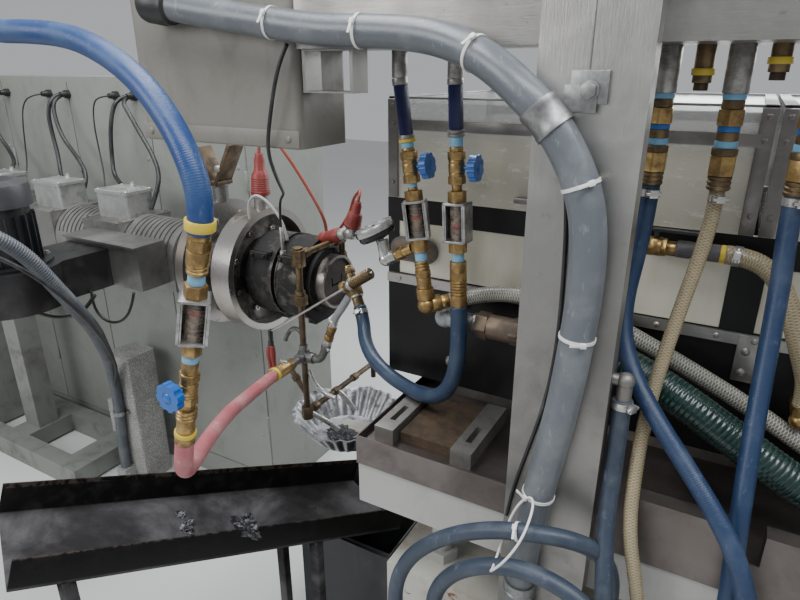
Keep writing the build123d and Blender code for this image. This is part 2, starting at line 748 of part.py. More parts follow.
# Pressure gauge on the left drop's branch
branch_end = left_at * Pos(-48, 0, LEFT_METER_Z - METER_H - 12)
gauge_at = Pos(branch_end.position.X - 14, DROP_Y - 6, branch_end.position.Z + 26) * Rot(18, -14, 0)
gauge = gauge_at * turned(
    (0, -12), (GAUGE_R - 4, -12), (GAUGE_R, -8), (GAUGE_R, 12), (GAUGE_R - 3, 12), (GAUGE_R - 3, 9), (0, 9)
)
gauge += branch_end * Pos(-9.2, 0, 0) * (Sphere(9) + Pos(0, 0, 12) * Cylinder(6, 24))
save("pressure_gauge", gauge)


# Vacuum valve screwed into the tank's rim, with its lever
def vacuum_valve():
    y = TANK_FRONT_Y - VACUUM_OUT
    valve = bar_y(VACUUM_X, y, TANK_FRONT_Y, VACUUM_Z, 10)
    valve += Pos(VACUUM_X, y, VACUUM_Z) * Sphere(15)
    valve += bar_x(VACUUM_X, VACUUM_X + 56, y, VACUUM_Z, 11)
    valve += bar_x(VACUUM_X + 12, VACUUM_X + 36, y, VACUUM_Z, 16)
    valve += bar_x(VACUUM_X + 56, VACUUM_X + 128, y, VACUUM_Z, 14)
    return valve


def valve_lever():
    x = VACUUM_X + 24
    y = TANK_FRONT_Y - VACUUM_OUT
    post = bar_z(x, y, VACUUM_Z + 16.3, VACUUM_Z + 26, 5)
    blade = block(x - 8, x + 62, y - 7, y + 7, VACUUM_Z + 26, VACUUM_Z + 30)
    return post + fillet(blade.edges().filter_by(Axis.Z), 5)


save("vacuum_valve", vacuum_valve())
save("valve_lever", valve_lever())


# Sizing tank: an open trough with window openings along the front and hinge lugs behind
def tank_body():
    wall = TANK_WALL
    tank = block(TANK_X, TANK_END_X, TANK_FRONT_Y, TANK_BACK_Y, TANK_Z, TANK_RIM_Z)
    tank -= block(
        TANK_X + wall, TANK_END_X - wall, TANK_FRONT_Y + wall, TANK_BACK_Y - wall, TANK_Z + wall, TANK_RIM_Z
    )
    for k in range(BAYS):
        x0 = TANK_X + k * BAY_L
        tank -= block(
            x0 + STILE_W, x0 + BAY_L - STILE_W, TANK_FRONT_Y, TANK_FRONT_Y + wall, *WINDOW_Z
        )
        for x in (x0 + HINGE_IN, x0 + BAY_L - HINGE_IN):
            reach = HINGE_L / 2 + 7
            back = TANK_BACK_Y + HINGE_OUT
            for lug_x in (x - reach, x + reach):
                tank += block(lug_x - 5, lug_x + 5, TANK_BACK_Y, back + HINGE_R, TANK_RIM_Z - 24, TANK_RIM_Z)
                tank += bar_x(lug_x - 5, lug_x + 5, back, TANK_RIM_Z, HINGE_R)
            tank += bar_x(x - reach, x + reach, back, TANK_RIM_Z, HINGE_PIN_R)
    entry = bar_x(TANK_X, TANK_X + wall, 0, AXIS_Z, 60)
    return tank - entry


def tank_panes():
    panes = []
    for k in range(BAYS):
        x0 = TANK_X + k * BAY_L
        panes.append(block(
            x0 + STILE_W, x0 + BAY_L - STILE_W, TANK_FRONT_Y + 2, TANK_FRONT_Y + TANK_WALL - 2, *WINDOW_Z
        ))
    return panes


def lid(k):
    x0 = TANK_X + k * BAY_L + LID_GAP / 2
    x1 = x0 + BAY_L - LID_GAP
    z0 = TANK_RIM_Z + LID_SEAT
    hood = block(x0, x1, TANK_FRONT_Y, TANK_BACK_Y, z0, LID_TOP_Z)
    hood -= block(x0 + LID_T, x1 - LID_T, TANK_FRONT_Y + LID_T, TANK_BACK_Y - LID_T, z0, LID_TOP_Z - LID_T)
    back = TANK_BACK_Y + HINGE_OUT
    for x in (TANK_X + k * BAY_L + HINGE_IN, TANK_X + (k + 1) * BAY_L - HINGE_IN):
        left_x = x - HINGE_L / 2
        right_x = x + HINGE_L / 2
        hood += block(left_x, right_x, TANK_BACK_Y, back + 2, TANK_RIM_Z + 3, TANK_RIM_Z + 40)
        hood += bar_x(left_x, right_x, back, TANK_RIM_Z, HINGE_R)
        hood -= bar_x(left_x, right_x, back, TANK_RIM_Z, HINGE_PIN_R + 0.3)
    return hood


save("tank_body", tank_body())
save("tank_windows", *tank_panes())
strip_z = WINDOW_Z[0] - STRIP_H
save(
    "rim_strip",
    block(TANK_X, TANK_END_X, TANK_FRONT_Y - STRIP_T, TANK_FRONT_Y, strip_z, strip_z + STRIP_H - 2),
)
for k in range(BAYS):
    save(f"lid_{k + 1}", lid(k))


# Table: a panelled slab on short columns, over a long base box on feet
def table_frame():
    frame = block(TABLE_X, TABLE_END_X, TABLE_FRONT_Y + RIM_T, TABLE_BACK_Y, PANEL_Z, TABLE_Z)
    top = BASE_BOX_Z[1]
    for x in (BASE_BOX_X + 90, *MIDDLE_COLUMN_X, TABLE_END_X - 150):
        for y in (TABLE_FRONT_Y + 90, TABLE_BACK_Y - 90):
            frame += bar_z(x, y, top, PANEL_Z, COLUMN_R)
            frame += Pos(x, y, top) * extrude(RegularPolygon(COLUMN_R + 14, 6), amount=24)
    return frame


def base_box():
    z0, z1 = BASE_BOX_Z
    x1 = TABLE_END_X - 60
    box = block(BASE_BOX_X, x1, BASE_BOX_Y, TABLE_BACK_Y - 30, z0, z1)
    for x in (BASE_BOX_X + 60, *MIDDLE_COLUMN_X, x1 - 60):
        for y in (BASE_BOX_Y + 60, TABLE_BACK_Y - 90):
            box += bar_z(x, y, 0, z0, 30)
    for x in PORT_X:
        box += bar_y(x, PORT_Y, BASE_BOX_Y, PORT_Z[0], PORT_R)
        box += Pos(x, PORT_Y, PORT_Z[0]) * Sphere(PORT_R + 4)
        box += bar_z(x, PORT_Y, *PORT_Z, PORT_R)
    arm = block(PAN_X - 60, BASE_BOX_X, *ARM_Y, PAN_Z - ARM_T, PAN_Z)
    seat = Pos(PAN_X, 40, PAN_Z - ARM_T / 2) * Cylinder(70, ARM_T)
    return box + arm + seat


def tray():
    out = TABLE_FRONT_Y
    pan = block(TABLE_X - RIM_T, TABLE_END_X + RIM_T, out, TABLE_BACK_Y + RIM_T, BAND_Z, RIM_Z)
    pan -= block(TABLE_X, TABLE_END_X, out + RIM_T, TABLE_BACK_Y, BAND_Z, TABLE_Z)
    pan -= block(TABLE_X, TABLE_END_X, out + RIM_T, TABLE_BACK_Y, TABLE_Z + RIM_T, RIM_Z)
    x = SPLASH_X[0]
    while x < TABLE_END_X - 300:
        pan += block(x, x + SPLASH_X[1] - SPLASH_X[0], out, out + SPLASH_W, RIM_Z, SPLASH_Z)
        x += SPLASH_X[1] - SPLASH_X[0] + 45
    return pan


save("table_frame", table_frame())
save("base_box", base_box())
save("tray", tray())
floor_z = TABLE_Z + RIM_T
rails = [
    block(TABLE_X + 60, TABLE_END_X - 40, y, y + 40, floor_z + SEAT, TANK_Z) for y in RAIL_Y
]
save("bed_rails", *rails)


# Clamp bars over a spare tool plate, in the tray at the die end
def clamp_bar(x):
    bar = block(x, x + 42, *CLAMP_Y, floor_z, TOOL_Z)
    slot = block(x + 15, x + 27, CLAMP_Y[0] + 35, CLAMP_Y[0] + 95, floor_z, TOOL_Z)
    return bar - slot


save("clamp_bars", *[clamp_bar(x) for x in CLAMP_X])
save("tool_plate", block(*TOOL_X, CLAMP_Y[0] + 20, CLAMP_Y[1] - 5, floor_z, TOOL_Z - 12))


# Chute from beside the die down to the bin: a trough on legs, with a lip at its low end
def scrap_chute():
    start = Vector(*CHUTE_START)
    end = Vector(*CHUTE_END)
    along = (end - start).normalized()
    across = Vector(along.Y, -along.X, 0).normalized()
    cut = Plane(origin=start, z_dir=along, x_dir=-across)
    trough = Rectangle(CHUTE_W, CHUTE_H)
    trough -= Pos(0, CHUTE_WALL) * Rectangle(CHUTE_W - 2 * CHUTE_WALL, CHUTE_H)
    chute = extrude(cut * trough, amount=(end - start).length)
    reach = CHUTE_W / 2 - CHUTE_LEG / 2
    sweep_box = extrude(cut * Rectangle(CHUTE_W + 2, CHUTE_H - 2), amount=(end - start).length)
    for share in (0.09, 0.70):
        middle = start + (end - start) * share
        for side in (-1, 1):
            foot = middle + across * reach * side
            half = CHUTE_LEG / 2
            leg = block(foot.X - half, foot.X + half, foot.Y - half, foot.Y + half, 0, foot.Z)
            chute += leg - sweep_box
    return chute


def scrap_bin():
    x0, x1 = BIN_X
    y0, y1 = BIN_Y
    box = block(x0, x1, y0, y1, 0, BIN_H) - block(x0 + 4, x1 - 4, y0 + 4, y1 - 4, 4, BIN_H)
    rim = block(x0 - 8, x1 + 8, y0 - 8, y1 + 8, BIN_H - 12, BIN_H - 6)
    return box + (rim - block(x0, x1, y0, y1, BIN_H - 12, BIN_H - 6))


def fluted(r, z):
    """A round outline with shallow flutes."""
    points = []
    for i in range(2 * FLUTES):
        reach = r - 5 * (i % 2)
        turn = radians(180 * i / FLUTES)
        points.append((reach * cos(turn), reach * sin(turn)))
    return Pos(PAN_X, 0, z) * make_face(Polyline(*points, close=True))


def drip_pan():
    top = PAN_Z + PAN_H
    pan = loft([fluted(PAN_R - 26, PAN_Z), fluted(PAN_R, top)], ruled=True)
    return pan - loft([fluted(PAN_R - 29, PAN_Z + 3), fluted(PAN_R - 3, top)], ruled=True)


save("scrap_chute", scrap_chute())
save("scrap_bin", scrap_bin())
save("drip_pan", drip_pan())

# Hoses and conduit, each by the points of its route
supply_points = [
    (-133, -420, 1850), (-175, -420, 1850), (-232, -462, 1840), (-268, -545, 1812), (-262, -632, 1768),
    (-205, -692, 1718), (-110, -718, 1672), (-10, -716, 1650), (85, -714, 1642), (175, -724, 1620),
    (258, -740, 1582), (318, -752, 1532), (352, -759, 1478), (358.7, -760, 1434.1), (350, -760, 1400),
]
die_points = [
    (535.9, -330, 1187.5), (538, -330, 1147), (538, -330.5, 1085), (529, -328, 1028), (503, -322, 982),
    (455, -306, 960), (402, -284, 956), (345, -262, 959), (287, -236, 974), (244, -205, 998),
    (213.1, -159.65, 1029.45), (195.15, -148.89, 1058.51),
]
pink_points = [
    (261.08, -760, 1051.15), (251.57, -760, 1013.84), (236, -750, 974), (212, -722, 946), (182, -678, 934),
    (150, -620, 932), (120, -560, 929), (92, -500, 920), (68, -438, 907), (45, -370, 896),
    (25, -304, 886), (14, -262, 882), (14, -220, 882),
]
grey_points = [
    (-20, -479.3, 1712), (90, -479.3, 1695), (192, -479.3, 1680), (352, -479.4, 1657), (431, -479.3, 1654),
    (526, -480, 1648), (592, -488, 1632), (648, -507, 1608), (694, -520, 1576), (734, -520.5, 1540),
    (766, -519.3, 1494), (788, -519.4, 1446), (798, -519.3, 1394), (801, -519.3, 1330), (797, -519.4, 1250),
    (789, -519.3, 1150), (771, -519.4, 1025), (759, -519.3, 940), (750, -519.4, 860), (747, -519.3, 751),
    (745.5, -519.3, 650), (745.5, -519.3, GREY_BOX_Z),
]
conduit_points = [
    (-888, -482, 1198), (-888, -535, 1198), (-868, -602, 1214), (-818, -657, 1238), (-745, -684, 1260),
    (-678, -668, 1272), (-628, -614, 1264), (-602, -546, 1228), (-596, -478, 1160), (-592, -426, 1062),
    (-606, -364, 962), (-668, -290, 862), (-770, -215, 770), (-880, -135, 682), (-970, -70, 600),
    (-1022, -32, 512), (-1034, -21.5, 425), (-1039, -21.4, 330), (-1050, -21.5, 230), (-1058, -21.5, 140),
    (-1058, -21.5, CONDUIT_FOOT_Z),
]
yellow_points = [
    (930, -330, 1440), (930, -330, 1400), (923, -341, 1340), (911, -366, 1267), (900, -392, 1187),
    (892, -420, 1107), (893, -463, 1028), (900, -495, 945), (922, -508, 870), (937, -511, 800),
    (940, -505, 730), (938, -500, 660), (938, -500, 600),
]
blue_1_points = [
    (840, -330, 1440), (840, -330, 1400), (836, -342, 1330), (831, -366, 1262), (841, -392, 1208),
    (868, -420, 1163), (908, -450, 1121), (953, -474, 1078), (997, -502, 1038), (1036, -524, 993),
    (1062, -534, 930), (1080, -531, 860), (1091, -516, 790), (1094, -503, 720), (1092, -500, 655),
    (1092, -500, 600),
]
blue_2_points = [
    (1025, -330, 1440), (1025, -330, 1400), (1030, -343, 1325), (1032, -368, 1240), (1033, -401, 1158),
    (1035, -438, 1078), (1038, -474, 1000), (1043, -493, 920), (1047, -502, 840), (1047, -504, 760),
    (1045, -500, 680), (1045, -500, 600),
]
loop_points = [
    (862, -470, 1150), (862, -470, 1108), (863, -474, 1050), (865, -488, 992), (870, -513, 935),
    (882, -545, 875), (893, -568, 810), (897, -578, 742), (886, -583, 682), (852, -587, 635),
    (800, -589, 606), (742, -589, 597), (686, -587, 612), (640, -584, 650), (615, -581, 704),
    (619, -580, 762), (650, -582, 818), (700, -586, 862), (757, -590, 888), (814, -593, 893),
    (866, -596, 876), (906, -600, 838), (927, -604, 786), (926, -608, 730), (903, -612, 678),
    (862, -615, 634), (808, -617, 602), (746, -617, 583), (682, -614, 582), (622, -608, 602),
    (574, -600, 640), (545, -590, 690), (542, -580, 745), (562, -573, 800), (602, -570, 850),
    (654, -570, 893), (712, -571, 926), (772, -569, 944), (826, -552, 942), (864, -524, 915),
    (886, -504, 866), (890, -498, 805), (886, -499, 740), (888, -500, 672), (888, -500, 600),
]
suction_points = [
    (650, -290, 1140), (730, -290, 1140), (825, -310, 1138), (925, -334, 1106), (1020, -348, 1060),
    (1115, -356, 1010), (1215, -358, 974), (1320, -352, 962), (1400, -352, 962),
]
braided_points = [
    (502.27, -301.72, 1181.21), (529.56, -278.58, 1185.19), (580, -262, 1198), (645, -262, 1205), (715, -262, 1203),
    (785, -264, 1188), (860, -266, 1158), (940, -266, 1124), (1031, -272, 1085), (1110, -282, 1046),
    (1180, -288, 1014), (1240, -287, 1002), (1294, -287, 1002),
]
vacuum_points = [
    (956, -260, 1329), (988, -260, 1329), (1024, -270, 1313), (1050, -284, 1276), (1069, -292, 1228),
    (1087, -292, 1184), (1100, -290, 1148), (1100, -290, 1114),
]
save("supply_hose", tube_along(supply_points, SUPPLY_R))
save("die_hose", tube_along(die_points, DIE_HOSE_R))
save("pink_hose", tube_along(pink_points, PINK_R))
save("grey_hose", tube_along(grey_points, GREY_R))
save("conduit", tube_along(conduit_points, CONDUIT_R))
save("yellow_hose", tube_along(yellow_points, YELLOW_R))
save("blue_hose_1", tube_along(blue_1_points, BLUE_R))
save("blue_hose_2", tube_along(blue_2_points, BLUE_R))
save("loop_hose", tube_along(loop_points, BLUE_R))
save("suction_hose", tube_along(suction_points, SUCTION_R))
save("braided_hose", tube_along(braided_points, BRAIDED_R))
save("vacuum_hose", tube_along(vacuum_points, BRAIDED_R))
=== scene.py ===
from math import cos, pi, radians, sin

import bpy
from mathutils import Matrix, Vector, noise


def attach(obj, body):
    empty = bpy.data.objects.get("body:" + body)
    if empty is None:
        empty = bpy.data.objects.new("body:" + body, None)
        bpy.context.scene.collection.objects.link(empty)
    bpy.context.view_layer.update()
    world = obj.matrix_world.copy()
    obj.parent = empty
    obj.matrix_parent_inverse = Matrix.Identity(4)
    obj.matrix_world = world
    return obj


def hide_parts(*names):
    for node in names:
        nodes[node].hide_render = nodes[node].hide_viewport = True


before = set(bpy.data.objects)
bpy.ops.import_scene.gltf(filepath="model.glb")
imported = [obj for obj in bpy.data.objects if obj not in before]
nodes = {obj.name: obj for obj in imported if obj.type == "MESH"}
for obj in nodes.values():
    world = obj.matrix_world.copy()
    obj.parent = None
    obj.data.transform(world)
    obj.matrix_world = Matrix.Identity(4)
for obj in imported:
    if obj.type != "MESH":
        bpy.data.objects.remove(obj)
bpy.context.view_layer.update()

# Camera: at the operator's eye height in front of the die, turned left of straight across
# and looking down at the die head and the first bay of the tank.
camera_data = bpy.data.cameras.new("camera")
camera = bpy.data.objects.new("camera", camera_data)
bpy.context.scene.collection.objects.link(camera)
camera.location = (0.1855, -0.835, 1.6)
camera.rotation_euler = (radians(69.29), 0, radians(29.31))
camera_data.lens = 27.4
camera_data.sensor_width = 36
camera_data.clip_start = 0.02
bpy.context.scene.camera = camera


class Tone:
    """A value in a material's nodes; arithmetic on it adds the Math nodes that work it out."""

    def __init__(self, socket):
        self.socket = socket

    def node(self, kind, inputs, settings=(), output=0):
        """Add any other node: its settings first, then values or links for its sockets."""
        tree = self.socket.id_data
        made = tree.nodes.new("ShaderNode" + kind)
        for key, value in dict(settings).items():
            setattr(made, key, value)
        for key, value in inputs.items():
            if isinstance(value, Tone):
                tree.links.new(value.socket, made.inputs[key])
            else:
                made.inputs[key].default_value = value
        return Tone(made.outputs[output])

    def math(self, operation, a, b):
        return self.node("Math", {0: a, 1: b}, {"operation": operation})

    def __add__(self, other):
        return self.math("ADD", self, other)

    __radd__ = __add__

    def __sub__(self, other):
        return self.math("SUBTRACT", self, other)

    def __rsub__(self, other):
        return self.math("SUBTRACT", other, self)

    def __mul__(self, other):
        return self.math("MULTIPLY", self, other)

    __rmul__ = __mul__

    def stretched(self, amounts):
        """Coordinates multiplied along each axis."""
        return self.node("VectorMath", {0: self, 1: amounts}, {"operation": "MULTIPLY"})

    def noise(self, scale, detail=4.0, roughness=0.55, distortion=0.0):
        """Cloudy noise over these coordinates, about 0.5 on average."""
        inputs = {"Vector": self, "Scale": scale, "Detail": detail, "Roughness": roughness}
        return self.node("TexNoise", {**inputs, "Distortion": distortion})

    def cells(self, scale):
        """The distance to the nearest of scattered points."""
        return self.node("TexVoronoi", {"Vector": self, "Scale": scale})

    def part(self, axis):
        """One of the three coordinates."""
        return self.node("SeparateXYZ", {0: self}, output=axis)

    def between(self, low, high):
        """0 below low, 1 above high, and a smooth step from one to the other."""
        inputs = {"Value": self, "From Min": low, "From Max": high}
        return self.node("MapRange", inputs, {"interpolation_type": "SMOOTHSTEP"})

    def choose(self, zero, one):
        """The first colour where this is 0 and the second where it is 1."""
        zero, one = [c if isinstance(c, Tone) else (*c, 1.0) for c in (zero, one)]
        return self.node("Mix", {0: self, 6: zero, 7: one}, {"data_type": "RGBA"}, 2)


def new_finish(name, **fixed):
    """A new material: itself, its shader and its object coordinates."""
    material = bpy.data.materials.new(name)
    material.use_nodes = True
    tree = material.node_tree
    shader = tree.nodes["Principled BSDF"]
    for key, value in fixed.items():
        shader.inputs[key.replace("_", " ").title().replace("Ior", "IOR")].default_value = value
    place = Tone(tree.nodes.new("ShaderNodeTexCoord").outputs["Object"])
    return material, shader, place


def lay(shader, **tones):
    """Link tones to the shader's sockets; relief is (height, depth in metres) and becomes a bump."""
    tree = shader.id_data
    for key, tone in tones.items():
        if key == "relief":
            height, depth = tone
            tone = height.node("Bump", {"Height": height, "Distance": depth, "Strength": 1.0})
            key = "normal"
        tree.links.new(tone.socket, shader.inputs[key.replace("_", " ").title()])


def shaded(colour, share):
    """A colour made darker or brighter."""
    return [min(1, share * c) for c in colour]


# Floor and light: a plain pale floor, a pale surround and soft lamps as in a studio.
bpy.ops.object.select_all(action="DESELECT")
bpy.ops.mesh.primitive_plane_add(size=24, location=(0, 0, -0.0005))
floor = bpy.context.object
floor.name = "studio_floor"
pale, shader, place = new_finish("pale_floor", roughness=0.75)
cloud = place.noise(0.8, 3.0)
lay(shader, base_color=cloud.choose((0.6, 0.6, 0.59), (0.66, 0.66, 0.65)))
floor.data.materials.append(pale)
world = bpy.data.worlds.new("surround")
bpy.context.scene.world = world
world.use_nodes = True
world.node_tree.nodes["Background"].inputs["Color"].default_value = (0.86, 0.89, 0.93, 1)
world.node_tree.nodes["Background"].inputs["Strength"].default_value = 0.5


def lamp(name, at, towards, size, watts, colour=(1, 1, 1)):
    data = bpy.data.lights.new(name, "AREA")
    data.shape = "RECTANGLE"
    data.size, data.size_y = size
    data.energy = watts
    data.color = colour
    piece = bpy.data.objects.new(name, data)
    bpy.context.scene.collection.objects.link(piece)
    piece.location = at
    piece.rotation_euler = (Vector(towards) - Vector(at)).to_track_quat("-Z", "Y").to_euler()


lamp("ceiling_strip_1", (-1.2, 0.4, 3.6), (-0.9, 0.4, 1.0), (3.5, 0.7), 112, (0.95, 0.98, 1))
lamp("ceiling_strip_2", (1.2, -0.6, 3.6), (0.5, 0.3, 1.0), (3.5, 0.7), 100, (0.95, 0.98, 1))
lamp("side_soft_box", (-2.4, -2.6, 2.6), (-0.6, 0.3, 1.0), (1.8, 1.4), 55)
lamp("window_light", (0.8, 3.4, 2.4), (0.2, 0.5, 1.3), (2.4, 1.6), 70, (0.95, 0.98, 1))


def dress(node, material):
    """Give a CAD node its finish."""
    for holder in nodes[node].material_slots:
        holder.material = material
    if not nodes[node].material_slots:
        nodes[node].data.materials.append(material)


def settle(piece, materials=(), body="root", instead_of=()):
    """Finish a piece: its materials, its body and the nodes it stands for."""
    for material in materials:
        piece.data.materials.append(material)
    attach(piece, body)
    if instead_of:
        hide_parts(*instead_of)
    return piece


# Hoses: rubber, vinyl and corrugated plastic tube, each pushed over a barb at both ends and
# left to hang. The first and last points of each route are on its fittings.
def centreline(route, pitch):
    """Points a pitch apart on the smooth line of a route, a spline with the route's points."""
    curve = bpy.data.curves.new("line", "CURVE")
    curve.dimensions = "3D"
    curve.resolution_u = 40
    spline = curve.splines.new("NURBS")
    spline.points.add(len(route) - 1)
    for point, at in zip(spline.points, route):
        point.co = (*at, 1)
    spline.order_u = 3
    spline.use_endpoint_u = True
    holder = bpy.data.objects.new("line", curve)
    bpy.context.scene.collection.objects.link(holder)
    bpy.context.view_layer.update()
    mesh = bpy.data.meshes.new_from_object(holder)
    fine = [v.co.copy() for v in mesh.vertices]
    bpy.data.objects.remove(holder)
    bpy.data.meshes.remove(mesh)
    total = sum((b - a).length for a, b in zip(fine, fine[1:]))
    count = max(2, round(total / pitch))
    step = total / count
    line, gone, wanted = [fine[0]], 0.0, step
    for a, b in zip(fine, fine[1:]):
        run = (b - a).length
        while run and gone + run >= wanted - 1e-9 and len(line) < count:
            line.append(a.lerp(b, (wanted - gone) / run))
            wanted += step
        gone += run
    return line + [fine[-1]]


def frames(line):
    """Two directions across the line at each point, carried along it without twisting."""
    across = []
    side = Vector((0, 0, 1)).cross(line[1] - line[0])
    if side.length < 1e-6:
        side = Vector((1, 0, 0))
    for i, point in enumerate(line):
        ahead = (line[min(i + 1, len(line) - 1)] - line[max(i - 1, 0)]).normalized()
        side = (side - ahead * side.dot(ahead)).normalized()
        across.append((side.copy(), ahead.cross(side)))
    return across


def new_piece(name, points, edges, faces):
    """A mesh object from its points, edges and faces."""
    mesh = bpy.data.meshes.new(name)
    mesh.from_pydata(points, edges, faces)
    piece = bpy.data.objects.new(name, mesh)
    bpy.context.scene.collection.objects.link(piece)
    return piece


def tube(name, line, radius, sides=20):
    """A tube round a line. Its UV map runs in metres along the tube and in turns round it."""
    vertices, faces, uvs = [], [], []
    gone = 0.0
    along = []
    for i, (point, (side, up)) in enumerate(zip(line, frames(line))):
        gone += (point - line[i - 1]).length if i else 0.0
        along.append(gone)
        r = radius(gone) if callable(radius) else radius
        for k in range(sides):
            turn = 2 * pi * k / sides
            vertices.append(point + side * (r * cos(turn)) + up * (r * sin(turn)))
    for i in range(len(line) - 1):
        for k in range(sides):
            a, b = i * sides + k, i * sides + (k + 1) % sides
            faces.append((a, b, b + sides, a + sides))
            v0, v1 = k / sides, (k + 1) / sides
            uvs += [(along[i], v0), (along[i], v1), (along[i + 1], v1), (along[i + 1], v0)]
    last = (len(line) - 1) * sides
    faces += [tuple(reversed(range(sides))), tuple(range(last, last + sides))]
    uvs += [(0, 0)] * (2 * sides)
    piece = new_piece(name, vertices, [], faces)
    layer = piece.data.uv_layers.new(name="UVMap")
    for loop, uv in zip(layer.data, uvs):
        loop.uv = uv
    piece.data.polygons.foreach_set("use_smooth", [True] * (len(faces) - 2) + [False] * 2)
    return piece


def rubber(name, colour, dusty, gloss, hoops=0.0):
    """Smooth rubber or soft plastic, with dust on it, scuffs where it has rubbed, and fine hoops
    round it where the cord in its wall shows."""
    material, shader, place = new_finish(name)
    grain = place.noise(220, 3)
    if hoops:
        uv = Tone(material.node_tree.nodes.new("ShaderNodeUVMap").outputs["UV"])
        wound = uv.part(0) * 330 + uv.part(1)
        grain = grain + hoops * wound.math("PINGPONG", wound, 0.5)
    dust = place.noise(14, 6, 0.6).between(0.42, 0.78)
    scuff = place.stretched((1, 1, 0.35)).noise(90, 3, 0.7).between(0.6, 0.72)
    base = dust.choose(colour, dusty)
    pale_tone = [min(1, 1.5 * c + 0.05) for c in dusty]
    lay(
        shader, base_color=(scuff * 0.35).choose(base, pale_tone),
        roughness=gloss + 0.22 * dust + 0.15 * scuff, relief=(grain, 0.0003),
    )
    return material


def braided(name, colour, thread, gloss, pitch, show):
    """Clear or yellowed vinyl with a braid of thin threads in its wall, crossing both ways."""
    material, shader, place = new_finish(name, specular_ior_level=0.6)
    uv = Tone(material.node_tree.nodes.new("ShaderNodeUVMap").outputs["UV"])
    along = uv.part(0)
    turn = uv.part(1)
    crossings = []
    for way in (1, -1):
        run = along * (1 / pitch) + turn * (6 * way)
        crossings.append(run.math("PINGPONG", run, 0.5).between(0.2, 0.06))
    threads = crossings[0].math("MAXIMUM", *crossings)
    murk = place.noise(16, 5, 0.6).between(0.35, 0.8)
    base = murk.choose(colour, shaded(colour, 0.72))
    lay(
        shader, base_color=(threads * show).choose(base, thread),
        roughness=gloss + 0.2 * murk, relief=(threads, 0.0004),
    )
    return material


HOSE_FINISHES = {
    "blue": rubber("blue_rubber", (0.012, 0.031, 0.08), (0.042, 0.066, 0.12), 0.4, 0.9),
    "bright_blue": rubber("bright_blue_rubber", (0.014, 0.047, 0.165), (0.035, 0.08, 0.19), 0.34, 0.9),
    "dark_blue": rubber("dark_blue_rubber", (0.017, 0.036, 0.075), (0.045, 0.07, 0.11), 0.34, 0.6),
    "navy": rubber("navy_sleeve", (0.008, 0.012, 0.085), (0.02, 0.03, 0.11), 0.28, 2.2),
    "dusty_blue": rubber("dusty_blue_rubber", (0.03, 0.043, 0.066), (0.08, 0.098, 0.125), 0.42, 0.7),
    "pink": rubber("pink_rubber", (0.4, 0.105, 0.12), (0.5, 0.26, 0.26), 0.46),
    "yellow": braided("yellow_vinyl", (0.25, 0.195, 0.11), (0.44, 0.385, 0.26), 0.24, 0.0046, 0.75),
    "clear": braided("clear_vinyl", (0.155, 0.15, 0.12), (0.5, 0.49, 0.44), 0.2, 0.005, 0.85),
}
